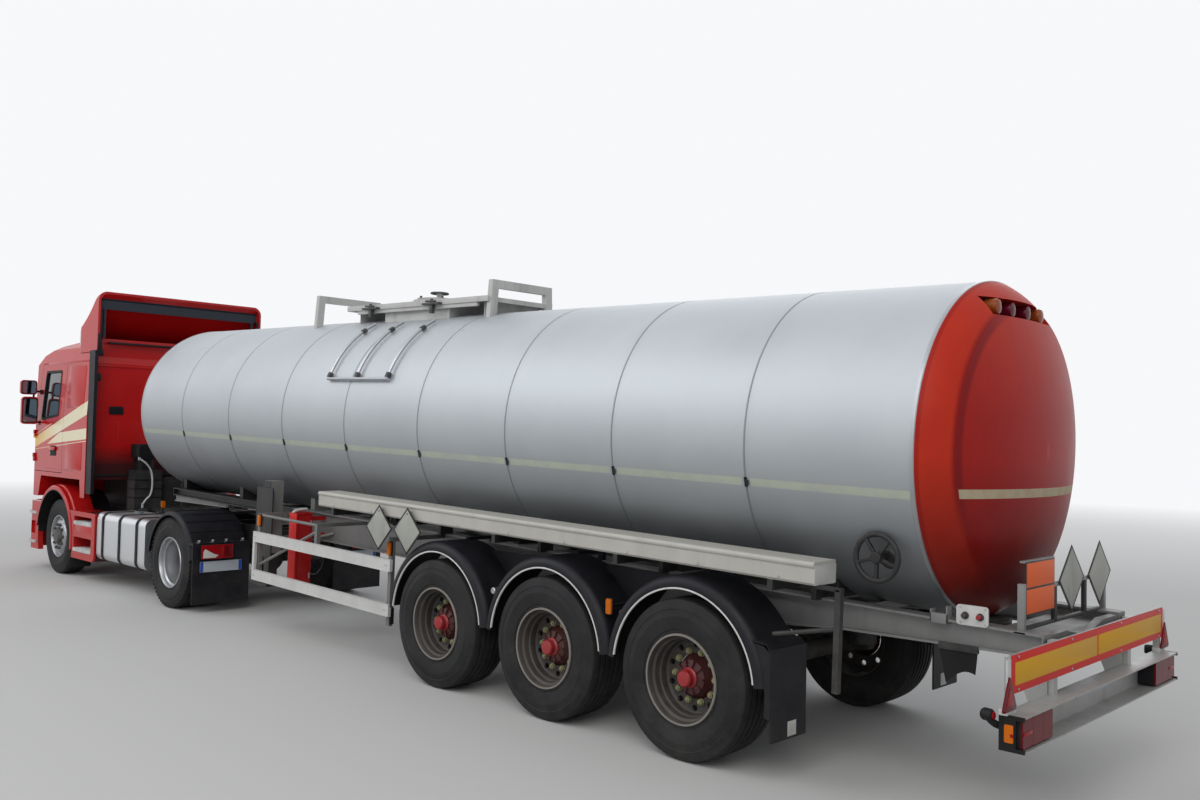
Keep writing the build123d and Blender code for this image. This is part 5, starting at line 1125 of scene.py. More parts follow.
def add_door_trim():
    """Window seals, handles and mirrors, attached to each door's body."""
    for side, flip in (("left", Matrix()), ("right", FLIP_Y)):
        trim = Piece(f"door_trim_{side}")
        seal = hoop(softened(grown(WINDOW, 0.020), 0.05), softened(grown(WINDOW, -0.014), 0.035), 1.196,
                    1.2245, "Y")
        trim.add(leaned(seal), "rubber", flip)
        trim.add(leaned(slab((11.545, 12.20), (1.198, 1.213), (2.190, 2.206), 0.003)), "rubber", flip)
        pocket = softened(corners((11.56, 11.82), (1.655, 1.80)), 0.035)
        trim.add(prism(pocket, 1.216, 1.2225, "Y", 0.002), "rubber", flip)
        grip = softened(corners((11.575, 11.805), (1.735, 1.785)), 0.02)
        trim.add(prism(grip, 1.226, 1.246, "Y", 0.005), "mirror_red", flip)
        for x in (11.60, 11.78):
            trim.add(slab((x - 0.012, x + 0.012), (1.22, 1.23), (1.745, 1.775), 0.002), "rubber", flip)
        trim.add(disc(0.014, (1.222, 1.230), 16, 0.002), "steel", flip @ at(11.79, 0, 1.69))
        trim.done(f"door_{side}", "trim")

        mirror = Piece(f"mirrors_{side}")
        for y, z, r in (((1.265, 1.485), (2.10, 2.50), 0.045), ((1.285, 1.505), (2.53, 2.74), 0.042)):
            whole = rounded(y, z, r, 6)
            shell = bmesh.new()
            shape = ((1.0, 0.0), (1.0, 0.030), (0.985, 0.060), (0.93, 0.084), (0.80, 0.100), (0.62, 0.106))
            rings = [loop_at(shell, shrunk(whole, share), 12.2405 + ahead, "X") for share, ahead in shape]
            for near, far in zip(rings, rings[1:]):
                skin(shell, near, far)
            shell.faces.new(rings[0])
            shell.faces.new(rings[-1])
            mirror.add(to_mesh(shell, 40), "mirror_red", flip)
            edge = hoop(shrunk(whole, 0.90), shrunk(whole, 0.82), 12.2365, 12.2440, "X")
            mirror.add(edge, "rubber", flip)
            mirror.add(prism(shrunk(whole, 0.84), 12.2378, 12.2404, "X"), "mirror", flip)
        for z, low in ((2.575, 2.565), (2.125, 2.115)):
            line = [(12.29, 1.195, z), (12.29, 1.26, z + 0.012), (12.29, 1.315, z)]
            mirror.add(pipe(line, 0.015), "rubber", flip)
            foot = rounded((12.265, 12.315), (low - 0.025, low + 0.045), 0.012)
            mirror.add(prism(foot, 1.186, 1.226, "Y", 0.003), "rubber", flip)
        mirror.add(pipe([(12.29, 1.315, 2.10), (12.29, 1.315, 2.64)], 0.014, False), "rubber", flip)
        mirror.done(f"door_{side}", "mirror_shell", GROUND, (f"mirror_{side}",))


def add_cab_trim():
    """What stands on the cab: screen seal, wipers, visor lamps, grille slats, rear wall's parts."""
    trim = Piece("cab_trim")
    for n in range(5):
        z = 1.160 + 0.124 * n
        for rise in (0.010, 0.027, 0.044):
            trim.add(nose_band((-0.806, 0.806), (z + rise, z + rise + 0.006), (0.0125, 0.031), 20),
                     "rubber")
        for y in (-0.54, -0.27, 0.0, 0.27, 0.54):
            trim.add(nose_band((y - 0.003, y + 0.003), (z + 0.002, z + 0.066), (0.0125, 0.026), 1),
                     "rubber")
    # The screen leans back from 1.98 up: its lower seal and two wipers
    trim.add(nose_band((-1.02, 1.02), (2.030, 2.058), (-0.045, -0.018), 24, 0.004), "rubber")
    for y in (-0.30, 0.42):
        start = Vector((nose_point(y, -0.022)[0], y, 2.055))
        end = Vector((NOSE_X + math.sqrt(NOSE_R ** 2 - (y - 0.52) ** 2) - 0.052, y - 0.52, 2.115))
        middle = (start + end) / 2 + Vector((0.020, 0, 0))
        trim.add(pipe([start, middle, end], 0.006), "rubber")
        trim.add(upright(0.022, (0.0, 0.03)), "rubber", at(start.x, start.y, start.z - 0.01))
    for y in (-0.92, -0.34, 0.34, 0.92):
        lamp = slab((12.665, 12.700), (y - 0.055, y + 0.055), (2.900, 2.928), 0.006)
        trim.add(lamp, "lens_amber")
    # Rear wall: a vent, rails across it at three heights and raised ribs
    trim.add(tile((0.745, 0.935), (2.255, 2.365), 0.014, 10.436, 10.4505, "X", 0.003), "rubber")
    for n in range(5):
        z = 2.272 + 0.018 * n
        trim.add(slab((10.430, 10.440), (0.757, 0.923), (z, z + 0.006), 0.001), "rubber")
    trim.add(slab((10.438, 10.452), (-1.10, 1.10), (2.905, 2.930), 0.005), "cab_red")
    trim.add(slab((10.436, 10.452), (-1.13, 1.13), (1.405, 1.440), 0.005), "rubber")
    for y in (-0.62, 0.0, 0.62):
        rib = prism(softened(corners((y - 0.20, y + 0.20), (1.70, 2.16)), 0.04),
                    10.4445, 10.451, "X", 0.0028)
        trim.add(rib, "cab_red")
    trim.add(slab((10.395, 10.452), (-0.98, 0.98), (3.215, 3.245), 0.006), "rubber")
    # Raised panel behind the door's window, the locker lid under it and the roof's gutter
    panel = softened(corners((10.60, 11.24), (2.33, 2.93)), 0.07)
    trim.both(leaned(prism(panel, 1.2155, 1.2235, "Y", 0.003)), "cab_red")
    lid = softened(corners((10.60, 11.20), (1.475, 1.87)), 0.04)
    trim.both(prism(lid, 1.217, 1.2235, "Y", 0.0025), "cab_red")
    trim.both(leaned(slab((10.52, 12.10), (1.2120, 1.2270), (2.972, 2.992), 0.004)), "cab_red")
    # Stay and latch behind the corner
    trim.both(pipe([(10.33, 1.125, 3.08), (10.33, 1.125, 3.66)], 0.016, False), "rubber")
    trim.both(tile((10.28, 10.36), (2.70, 2.80), 0.02, 1.115, 1.170, "Y", 0.006), "rubber")
    trim.both(slab((10.285, 10.345), (1.130, 1.168), (3.04, 3.34), 0.005), "rubber")
    trim.both(tile((10.28, 10.36), (3.04, 3.12), 0.02, 1.095, 1.150, "Y", 0.006), "rubber")
    return trim.done("cab", "trim")


def add_step_treads():
    """Pale treads on the steps and the bumper's ends, and the flap behind each steered wheel."""
    steps = Piece("step_treads")
    for z in (0.44, 0.80):
        tread = tile((10.10, 10.745), (1.015, 1.2425), 0.02, z - 0.045, z, "Z", 0.008)
        steps.both(tread, "tread")
        ridge = slab((10.13, 10.715), (1.228, 1.2345), (z - 0.004, z + 0.005), 0.002)
        steps.both(repeated(ridge, 4, step=(0, -0.04, 0), finish="tread"), "tread")
    riser = tile((10.10, 10.72), (0.60, 0.757), 0.015, 1.18, 1.2365, "Y", 0.004)
    steps.both(riser, "cab_red")
    for z in (0.415, 0.835):
        corner = [nose_point(1.2195 - 0.001 * k * k, 0.034) for k in range(0, 13)]
        inner = [nose_point(1.2195 - 0.001 * k * k, -0.04) for k in range(12, -1, -1)]
        outline = [(12.20, 1.180), (12.20, 1.254)] + corner + inner
        steps.both(prism(outline, z - 0.038, z, "Z", 0.0), "tread")
    # The small flap behind each steered wheel
    steps.both(tile((0.945, 1.230), (0.150, 0.420), 0.02, 10.862, 10.872, "X", 0.002), "rubber")
    steps.both(slab((10.846, 10.866), (0.95, 1.22), (0.330, 0.365), 0.003), "black")
    steps.done("tractor", "trim")


def add_arch_linings():
    """The front arches' inner sweep and its rolled lip."""
    lining = Piece("arch_linings")
    sweep = band((0.650, 0.654), (0.66, 1.232), 44, 2, 184)
    lining.both(sweep, "rubber", at(FRONT_AXLE_X, 0, TYRE_R))
    lip = band((0.648, 0.660), (1.226, 1.2515), 44, 12, 178)
    lining.both(lip, "rubber", at(FRONT_AXLE_X, 0, TYRE_R))
    lining.done("tractor", "black_plastic")


def add_tank_straps():
    """Straps, brackets, end frames and caps of the side tanks."""
    straps = Piece("fuel_tank_straps")
    outer = rounded((0.5905, 1.2245), (0.3355, 0.9745), 0.0995, 8)
    inner = rounded((0.5985, 1.2165), (0.3435, 0.9665), 0.0915, 8)
    for x in (8.691, 9.220, 9.759):
        straps.both(hoop(outer, inner, x - 0.027, x + 0.027), "rubber")
        for z in (0.90, 0.42):
            straps.both(disc(0.011, (1.2235, 1.2305), 10, 0.002), "nut_dark", at(x, 0, z))
        straps.both(slab((x - 0.035, x + 0.035), (0.66, 0.75), (0.97, 1.00), 0.006), "black")
    for x in (8.452, 9.948):
        outer_end = rounded((0.5985, 1.2165), (0.3435, 0.9665), 0.0915, 8)
        inner_end = rounded((0.604, 1.211), (0.349, 0.961), 0.086, 8)
        straps.both(hoop(outer_end, inner_end, x - 0.012, x + 0.012), "alloy")
    straps.both(upright(0.058, (0.0, 0.030), 28, 0.006), "trim_grey", at(9.50, 0.86, 0.963))
    straps.both(upright(0.044, (0.028, 0.044), 20, 0.005), "rubber", at(9.50, 0.86, 0.963))
    straps.done("tractor", "black_plastic")


def add_tractor_lamps():
    """Headlamps behind their glass, and the tail lamps."""
    lamps = Piece("headlamps")
    lamps.both(nose_band((0.762, 1.118), (0.682, 0.898), (-0.058, -0.050), 8), "rubber")
    for z in ((0.682, 0.690), (0.890, 0.898)):
        lamps.both(nose_band((0.762, 1.118), z, (-0.052, -0.002), 8), "rubber")
    for y in ((0.762, 0.770), (1.110, 1.118)):
        lamps.both(nose_band(y, (0.690, 0.890), (-0.052, -0.002), 1), "rubber")
    for y, r in ((0.845, 0.066), (0.985, 0.066)):
        bowl = lathe([(0.012, 0.0), (r * 0.7, 0.012), (r * 0.96, 0.034), (r, 0.040), (r + 0.006, 0.040),
                      (r + 0.006, 0.032), (r * 0.72, 0.004), (0.0, -0.004)], 28, closed=False)
        x = nose_point(y, -0.050)[0] - 0.004
        lamps.both(placed(bowl, at(x, y, 0.79) @ turned(-90, "Z")), "chrome")
        bulb = lathe([(0.014, 0.0), (0.016, 0.012), (0.010, 0.022), (0.0, 0.025)], 16, closed=False)
        lamps.both(placed(bulb, at(x, y, 0.79) @ turned(-90, "Z")), "lens_clear")
    lamps.both(nose_band((1.058, 1.108), (0.692, 0.888), (-0.048, -0.012), 4), "lens_amber")
    lamps.both(nose_band((0.764, 1.116), (0.684, 0.896), (-0.006, -0.001), 10), "lamp_glass")
    # Tail lamp: black tray, red body and a clear curved field
    lamps.both(slab((7.0265, 7.084), (0.790, 1.160), (0.620, 0.775), 0.008), "lens_red")
    lamps.both(slab((7.040, 7.0845), (0.788, 1.162), (0.618, 0.777), 0.005), "rubber")
    swoosh = [(1.145, 0.632), (1.00, 0.632), (0.965, 0.660), (1.02, 0.672), (1.085, 0.712), (1.125, 0.735),
              (1.145, 0.70)]
    lamps.both(prism(swoosh, 7.0225, 7.0275, "X", 0.0015), "lens_clear")
    lamps.both(tile((0.805, 0.90), (0.635, 0.76), 0.02, 7.0230, 7.0275, "X", 0.0015), "lens_dark")
    lamps.done("tractor", "lamp", GROUND, ("tractor_lamps",))


def add_number_plates():
    """Blank plates on the flaps and the bumper, and the flaps' clips."""
    plates = Piece("number_plates")
    plates.both(tile((0.655, 1.165), (0.455, 0.600), 0.012, 7.0735, 7.0855, "X", 0.003), "rubber")
    plates.both(tile((0.662, 1.158), (0.470, 0.588), 0.008, 7.0705, 7.0740, "X", 0.001), "plate_grey")
    for y in ((0.664, 0.700), (1.120, 1.156)):
        plates.both(tile(y, (0.472, 0.586), 0.005, 7.0695, 7.0712, "X", 0.0004), "blue")
    # Pale clips over the flap's upper edge
    for y in (0.66, 0.86, 1.02, 1.18):
        clip = slab((7.0745, 7.0875), (y - 0.018, y + 0.018), (0.795, 0.812), 0.003)
        plates.both(clip, "trim_grey")
        tab = prism([(y - 0.02, 0.83), (y + 0.012, 0.83), (y - 0.006, 0.805)], 7.072, 7.084, "X", 0.001)
        plates.both(tab, "tread")
    plates.add(nose_band((-0.262, 0.262), (0.318, 0.440), (0.0105, 0.0160), 8), "rubber")
    plates.add(nose_band((-0.258, 0.258), (0.322, 0.436), (0.0150, 0.0185), 8), "plate_grey")
    plates.done("tractor", "clear_lamp")


def add_bumper_fittings():
    """Slots, lips and fog lamps of the front bumper."""
    front = Piece("bumper_fittings")
    for n in range(6):
        z = 0.432 + 0.022 * n
        front.add(nose_band((-0.485, 0.485), (z, z + 0.008), (-0.040, 0.004), 16), "rubber")
    for y in (-0.32, 0.0, 0.32):
        front.add(nose_band((y - 0.006, y + 0.006), (0.415, 0.565), (-0.050, -0.004), 1), "rubber")
    front.add(nose_band((-1.05, 1.05), (0.640, 0.652), (0.0095, 0.0135), 24), "rubber")
    front.add(nose_band((-1.00, 1.00), (0.296, 0.318), (-0.03, 0.016), 24, 0.004), "rubber")
    x = nose_point(0.86, 0.008)[0]
    front.both(lying(0.062, (-0.02, 0.006), 28, 0.005), "rubber", at(x - 0.004, 0.86, 0.50))
    front.both(lying(0.050, (0.0, 0.012), 28, 0.006), "lens_clear", at(x - 0.004, 0.86, 0.50))
    front.both(lying(0.030, (0.0, 0.014), 20, 0.003), "rubber", at(nose_point(0.58, 0.004)[0], 0.58, 0.49))
    front.done("tractor", "black_plastic")


def add_intake():
    """The intake's cowl, the pipe stand, air bottles and the marker stalks behind the cab."""
    intake = Piece("intake_and_pipes")
    body = prism(softened(corners((10.095, 10.315), (0.43, 0.65)), 0.07), 1.485, 1.80, "Z", 0.0)
    intake.add(body, "rubber")
    cowl = prism(softened(corners((10.07, 10.335), (0.36, 0.69)), 0.09), 1.66, 1.855, "Z", 0.03)
    intake.add(cowl, "rubber")
    rib = slab((10.066, 10.072), (0.40, 0.66), (1.70, 1.712), 0.002)
    intake.add(repeated(rib, 7, step=(0, 0, 0.02), finish="rubber"), "rubber")
    for z in (1.12, 1.24, 1.36):
        intake.add(slab((10.078, 10.330), (0.322, 0.708), (z, z + 0.018), 0.004), "rubber")
    curve = [(10.06, 0.66, 1.66), (10.05, 0.60, 1.63), (10.05, 0.50, 1.52), (10.05, 0.475, 1.38),
             (10.05, 0.475, 1.25),
             (10.05, 0.50, 1.15), (10.05, 0.56, 1.11), (10.05, 0.60, 1.03)]
    intake.add(pipe(curve, 0.012), "tread")
    intake.add(pipe([(10.06, 0.66, 1.64), (10.06, 0.66, 1.68)], 0.018, False), "steel")
    intake.add(pipe([(10.05, 0.60, 1.055), (10.05, 0.60, 0.99)], 0.018, False), "steel")
    # Pipe stand behind the cab with its couplings, then the air bottles with their bands and plate
    intake.add(pipe([(9.95, 0.10, 0.985), (9.95, 0.10, 1.52), (9.95, -0.30, 1.52), (9.95, -0.30, 0.985)],
                    0.018, False), "black")
    for y, finish in ((0.02, "lens_red"), (-0.10, "blue"), (-0.22, "trim_grey")):
        intake.add(lying(0.028, (-0.03, 0.03), 18, 0.004), "nut_dark", at(9.95, y, 1.52))
        intake.add(lying(0.020, (-0.045, -0.028), 18, 0.003), finish, at(9.95, y, 1.52))
    for z, r in ((1.115, 0.112), (1.315, 0.075)):
        shape = [(0.0, -0.62), (r * 0.7, -0.61), (r, -0.57), (r, 0.19), (r * 0.7, 0.23), (0.0, 0.24)]
        intake.add(lathe(shape, 28, closed=False), "cast", at(10.315, 0, z))
        for y in (-0.42, 0.02):
            strap = band((r + 0.001, r + 0.006), (y - 0.018, y + 0.018), 28)
            intake.add(strap, "nut_dark", at(10.315, 0, z))
    intake.add(slab((10.19, 10.205), (-0.66, 0.26), (0.97, 1.40), 0.004), "black")
    for y in (-0.60, 0.21):
        intake.add(slab((10.20, 10.40), (y - 0.006, y + 0.006), (0.97, 1.16), 0.003), "black")
    coil = [(9.985 + 0.034 * math.cos(k * 0.9), -0.10 - 0.022 * k,
             1.37 + 0.034 * math.sin(k * 0.9)) for k in range(-14, 15)]
    intake.add(pipe(coil, 0.006), "rubber")
    # Marker lamps on stalks over the tanks' rear ends
    intake.both(pipe([(8.47, 1.0, 0.962), (8.47, 1.0, 1.12)], 0.009, False), "rubber")
    intake.both(tile((0.975, 1.025), (1.105, 1.190), 0.012, 8.452, 8.470, "X", 0.003), "lens_amber")
    intake.both(tile((0.970, 1.030), (1.100, 1.195), 0.014, 8.468, 8.482, "X", 0.003), "rubber")
    return intake.done("tractor", "black_plastic")


# Places along the trailer of the seams between its sheets
SEAMS = [TANK_REAR + BAY * n for n in range(1, 9)]


def round_tank(deg, x):
    """The frame of a point on the barrel's skin: X along, Y outwards, Z up the skin."""
    return at(x, 0, TANK_Z) @ turned(deg, "X") @ at(0, TANK_R, 0)


def add_tank_trim():
    """Clips on the seams and end bands on the barrel."""
    trim = Piece("tank_trim")
    clip = slab((-0.010, 0.010), (-0.002, 0.007), (-0.032, 0.032), 0.002)
    lever = slab((-0.022, -0.006), (0.004, 0.011), (-0.020, 0.016), 0.002)
    for x in SEAMS:
        spot = round_tank(-15.1, x)
        trim.both(clip, "rubber", spot)
        trim.both(lever, "black", spot)
    for x in (-1.462, 9.110):
        ring = lathe([(TANK_R - 0.002, -0.012), (TANK_R + 0.0045, -0.010), (TANK_R + 0.0045, 0.010),
                      (TANK_R - 0.002, 0.012)], 120)
        trim.add(ring, "steel", at(x, 0, TANK_Z) @ turned(90, "Z"))
    trim.done("trailer", "tank_alu", TIPPED)


def add_top_fittings():
    """What stands on the platform, and the grips over the side tubes."""
    gear = Piece("top_fittings")
    # Treads on the platform before and behind the lid
    for x, count in ((3.16, 12), (4.90, 11)):
        bar = slab((x, x + 0.012), (-0.385, 0.385), (3.272, 3.281), 0.002)
        gear.add(repeated(bar, count, step=(0.05, 0, 0), finish="top_grey"), "top_grey")
    # Clamps that hold the platform's edge down, and its lower stiffener
    for x in (3.95, 5.00):
        gear.both(slab((x - 0.135, x + 0.135), (0.404, 0.452), (3.232, 3.252), 0.004), "nut_dark")
        gear.both(slab((x - 0.022, x + 0.022), (0.404, 0.440), (3.150, 3.238), 0.004), "nut_dark")
        gear.both(pipe([(x - 0.07, 0.44, 3.262), (x + 0.08, 0.44, 3.268)], 0.010, False), "nut_dark")
        gear.both(upright(0.016, (3.25, 3.29), 10, 0.003), "nut_dark", at(x, 0.430, 0))
    gear.both(slab((3.30, 5.30), (0.360, 0.392), (3.196, 3.234), 0.004), "top_grey")
    gear.both(slab((3.13, 5.48), (0.396, 0.404), (3.232, 3.285), 0.002), "top_grey")
    # Black grips over the three tubes, near their upper ends and at their feet
    for x in (3.780, 4.290, 4.772):
        for deg in (54.0, 22.5):
            grip = slab((-0.021, 0.021), (0.012, 0.053), (-0.026, 0.026), 0.005)
            gear.both(grip, "nut_dark", round_tank(deg, x))
    gear.done("trailer", "grey_paint", TIPPED)


def add_lid_fittings():
    """The manhole lid's handwheel and its clamps."""
    lid = Piece("lid_fittings")
    top = 3.158 + 0.140 + 0.030
    lid.add(upright(0.030, (0.0, 0.070), 20, 0.004), "top_grey", at(4.40, 0, top + 0.022))
    wheel = torus(0.085, 0.011, 8, 32)
    flat = turned(90, "X")
    lid.add(wheel, "nut_dark", at(4.40, 0, top + 0.085) @ flat)
    spoke = slab((-0.082, 0.082), (-0.007, 0.007), (-0.005, 0.005), 0.002)
    for deg in (0, 60, 120):
        lid.add(spoke, "nut_dark", at(4.40, 0, top + 0.085) @ turned(deg, "Z"))
    for deg in range(30, 331, 60):
        spot = at(4.40, 0, top) @ turned(deg, "Z")
        lid.add(slab((0.185, 0.262), (-0.016, 0.016), (-0.004, 0.016), 0.004), "top_grey", spot)
        lid.add(upright(0.013, (0.0, 0.036), 10, 0.002), "nut_dark", spot @ at(0.232, 0, 0))
    lid.done("manhole_lid", "grey_paint", TIPPED)


def add_mudguard_trims():
    """White arcs on the mudguards, and what joins the last of them to its flap."""
    trim = Piece("mudguard_trims")
    arc = lathe([(0.5825, 1.2385), (0.5935, 1.2385), (0.5935, 1.2495), (0.5880, 1.2515), (0.5825, 1.2495)],
                60, True, 7, 166)
    for x in TRAILER_AXLES_X:
        trim.both(arc, "white", at(x, 0, TYRE_R))
    trim.both(slab((-0.7085, -0.7045), (0.96, 1.05), (0.275, 0.365), 0.001), "tread")
    # Behind the last wheel the gusset follows the mudguard's curve down to the flap
    edge = [math.radians(a) for a in range(150, 191, 4)]
    edge = [(0.661 * math.cos(a), TYRE_R + 0.661 * math.sin(a)) for a in edge]
    gusset = edge + [(-0.699, 0.40), (-0.699, 0.80), (-0.668, 0.845)]
    trim.both(prism(gusset, 1.204, 1.232, "Y", 0.0), "plastic")
    over = [(-0.560, 0.866), (-0.668, 0.852), (-0.702, 0.812), (-0.692, 0.806), (-0.650, 0.838),
            (-0.556, 0.852)]
    trim.both(prism(over, 0.852, 1.232, "Y", 0.0), "plastic")
    trim.done("trailer", "black_plastic")


def add_side_markers():
    """Side marker lamps and the bars of the mudguards."""
    lamps = Piece("side_markers")
    # A marker on its bar, which starts at the beam
    marker = rounded((0.646, 0.694), (0.858, 0.962), 0.008)
    lamps.both(prism(marker, 1.205, 1.221, "Y", 0.003), "lens_amber")
    tray = rounded((0.640, 0.700), (0.852, 0.968), 0.010)
    lamps.both(prism(tray, 1.193, 1.207, "Y", 0.003), "rubber")
    lamps.both(slab((0.658, 0.682), (0.912, 1.199), (0.898, 0.922), 0.003), "rubber")
    lamps.both(pipe([(0.60, 0.912, 0.90), (0.60, 1.10, 0.90), (0.56, 1.19, 0.88)], 0.014), "rubber")
    lamps.both(disc(0.024, (1.165, 1.205), 16, 0.004), "nut_dark", at(0.56, 0, 0.875))
    lamps.both(pipe([(1.94, 0.912, 0.88), (1.94, 1.10, 0.88), (1.93, 1.17, 0.87)], 0.014), "rubber")
    lamps.both(disc(0.026, (1.155, 1.205), 16, 0.004), "steel", at(1.93, 0, 0.87))
    lamps.done("trailer", "lamp")


def add_guard_fittings():
    """Lamps, bolts and lips on the side guards, and the left cabinet's face."""
    guard = Piece("guard_fittings")
    for x, z in ((5.715, 1.010), (3.385, 0.985)):
        marker = rounded((x - 0.022, x + 0.022), (z - 0.055, z + 0.055), 0.008)
        guard.both(prism(marker, 1.182, 1.202, "Y", 0.003), "lens_amber")
        tray = rounded((x - 0.026, x + 0.026), (z - 0.062, z + 0.062), 0.008)
        guard.both(prism(tray, 1.172, 1.185, "Y", 0.003), "rubber")
    for x in (3.385, 5.737):
        for z in (0.4525, 0.8425):
            for dx in (-0.012, 0.012):
                guard.both(disc(0.006, (1.2195, 1.2245), 8, 0.001), "steel", at(x + dx, 0, z))
    for z in (0.400, 0.790):
        lip = slab((3.325, 5.777), (1.214, 1.2225), (z + 0.098, z + 0.1055), 0.002)
        guard.both(lip, "plank")
        guard.both(slab((3.325, 5.777), (1.214, 1.2225), (z - 0.0005, z + 0.007), 0.002), "plank")
    guard.both(slab((3.330, 3.345), (1.150, 1.190), (0.330, 0.470), 0.004), "rubber")
    # The left cabinet's outer face in a lighter red, painted light on its lit side, then the pale pipe on top
    # of it, its hasp and its hinges
    guard.add(slab((5.374, 5.516), (0.958, 0.964), (0.375, 1.100), 0.002), "board_red")
    guard.add(pipe([(5.46, 0.80, 1.135), (5.46, 0.94, 1.135), (5.46, 0.955, 1.10)], 0.016), "tread")
    guard.add(slab((5.360, 5.3665), (0.86, 0.88), (0.70, 0.78), 0.002), "steel")
    for z in (0.46, 1.0):
        guard.add(upright(0.007, (-0.03, 0.03), 10, 0.002), "steel", at(5.3655, 0.80, z))
    guard.done("trailer", "trim", TIPPED)


def add_box_fittings():
    """End plates, lid line and screws of the side boxes."""
    boxes = Piece("box_fittings")
    for x in (-0.9725, 4.4975):
        outline = rounded((1.008, 1.240), (1.268, 1.385), 0.008)
        boxes.both(prism(outline, x - 0.0015, x + 0.0015, "X", 0.0006), "top_grey")
    boxes.both(slab((-0.968, 4.495), (1.2380, 1.2415), (1.372, 1.376), 0.001), "rubber")
    # Dark post at the box's rear end, and a tube from the mudguard to it
    boxes.both(slab((-1.125, -1.085), (1.16, 1.20), (0.66, 1.262), 0.004), "black")
    boxes.both(slab((-1.12, -0.95), (1.15, 1.20), (1.245, 1.266), 0.003), "black")
    boxes.both(pipe([(-1.10, 1.18, 1.03), (-0.66, 1.18, 0.93)], 0.014, False), "black")
    for n in range(9):
        x = -0.72 + 0.62 * n
        boxes.both(disc(0.007, (1.2375, 1.2435), 8, 0.001), "steel", at(x, 0, 1.29))
    boxes.done("trailer", "trim", TIPPED)


# The rear end: signs on posts, marker boards, lamps
def diamond(y, z, half):
    return [(y, z - half), (y + half, z), (y, z + half), (y - half, z)]


def shrunk(outline, by):
    middle = Vector((sum(p[0] for p in outline), sum(p[1] for p in outline))) / len(outline)
    return [tuple(middle + (Vector(p) - middle) * by) for p in outline]


def sign(piece, outline, place, face, axis="X"):
    """A thin blank sign with its black edge, facing rearwards or out to the side."""
    out = -1 if axis == "X" else 1
    piece.add(prism(outline, *sorted((place, place + out * 0.004)), axis, 0.001), "sign_black")
    piece.add(prism(shrunk(outline, 0.885), *sorted((place + out * 0.003, place + out * 0.0055)), axis,
                    0.0008), face)


SIGN_X = -1.98


def add_signs():
    """The blank orange plate and diamonds with their stand, and the control plate."""
    signs = Piece("rear_signs")
    x = SIGN_X
    signs.add(prism(corners((0.20, 0.61), (1.13, 1.43)), x - 0.004, x, "X", 0.001), "sign_black")
    for z in ((1.138, 1.274), (1.286, 1.422)):
        outline = [(0.208, z[0]), (0.602, z[0]), (0.602, z[1]), (0.208, z[1])]
        signs.add(prism(outline, x - 0.006, x - 0.003, "X", 0.001), "orange")
    # The orange plate's top cap, post, cross bar and foot
    stand = (
        ((x, x + 0.03), (0.190, 0.620), (1.424, 1.436), 0.002),
        ((x - 0.004, x + 0.034), (0.606, 0.640), (1.035, 1.31), 0.003),
        ((x, x + 0.022), (0.20, 0.625), (1.27, 1.295), 0.003),
        ((x - 0.02, x + 0.05), (0.575, 0.655), (1.030, 1.046), 0.003),
    )
    for bar in stand:
        signs.add(slab(*bar), "grey")
    for y in (-0.07, -0.54):
        sign(signs, diamond(y, 1.285, 0.205), x, "sign_white")
        signs.add(slab((x, x + 0.020), (y - 0.012, y + 0.012), (1.17, 1.40), 0.003), "grey")
    signs.add(slab((x + 0.004, x + 0.026), (-0.665, 0.23), (1.255, 1.280), 0.003), "grey")
    signs.add(slab((x, x + 0.03), (-0.668, -0.632), (1.035, 1.285), 0.003), "grey")
    for y in (0.15, -0.33):
        signs.add(slab((x + 0.006, x + 0.03), (y - 0.018, y + 0.018), (1.05, 1.27), 0.003), "black")
    signs.add(slab((x + 0.006, x + 0.034), (-0.60, 0.60), (1.044, 1.062), 0.003), "black")
    for at_x in (3.41, 2.99):
        sign(signs, diamond(at_x, 1.255, 0.200), 1.268, "sign_white", "Y")
        signs.add(slab((at_x - 0.014, at_x + 0.014), (1.238, 1.269), (1.20, 1.42), 0.002), "grey")
        signs.add(disc(0.008, (1.272, 1.277), 10, 0.002), "nut_dark", at(at_x, 0, 1.40))
    # The control plate on the left with its knobs and screws, its brackets and a small holder behind it
    plate = rounded((-1.79, -1.60), (1.042, 1.158), 0.018)
    signs.add(prism(plate, 0.652, 0.664, "Y", 0.002), "white")
    brackets = (
        ((-1.78, -1.61), (0.62, 0.655), (1.035, 1.055)), ((-1.545, -1.535), (0.605, 0.665), (1.03, 1.135)),
        ((-1.545, -1.435), (0.655, 0.665), (1.03, 1.09)), ((-1.445, -1.435), (0.605, 0.665), (1.03, 1.11)),
    )
    for bracket in brackets:
        signs.add(slab(*bracket, 0.003), "grey")
    for px, finish in ((-1.655, "nut_dark"), (-1.745, "hub_red")):
        signs.add(disc(0.022, (0.662, 0.672), 18, 0.002), "nut_dark", at(px, 0, 1.098))
        signs.add(disc(0.014, (0.670, 0.700), 16, 0.004), finish, at(px, 0, 1.098))
    for px in (-1.625, -1.775):
        for pz in (1.056, 1.144):
            signs.add(disc(0.005, (0.662, 0.668), 8, 0.001), "steel", at(px, 0, pz))
    return signs.done("trailer", "clear_lamp")


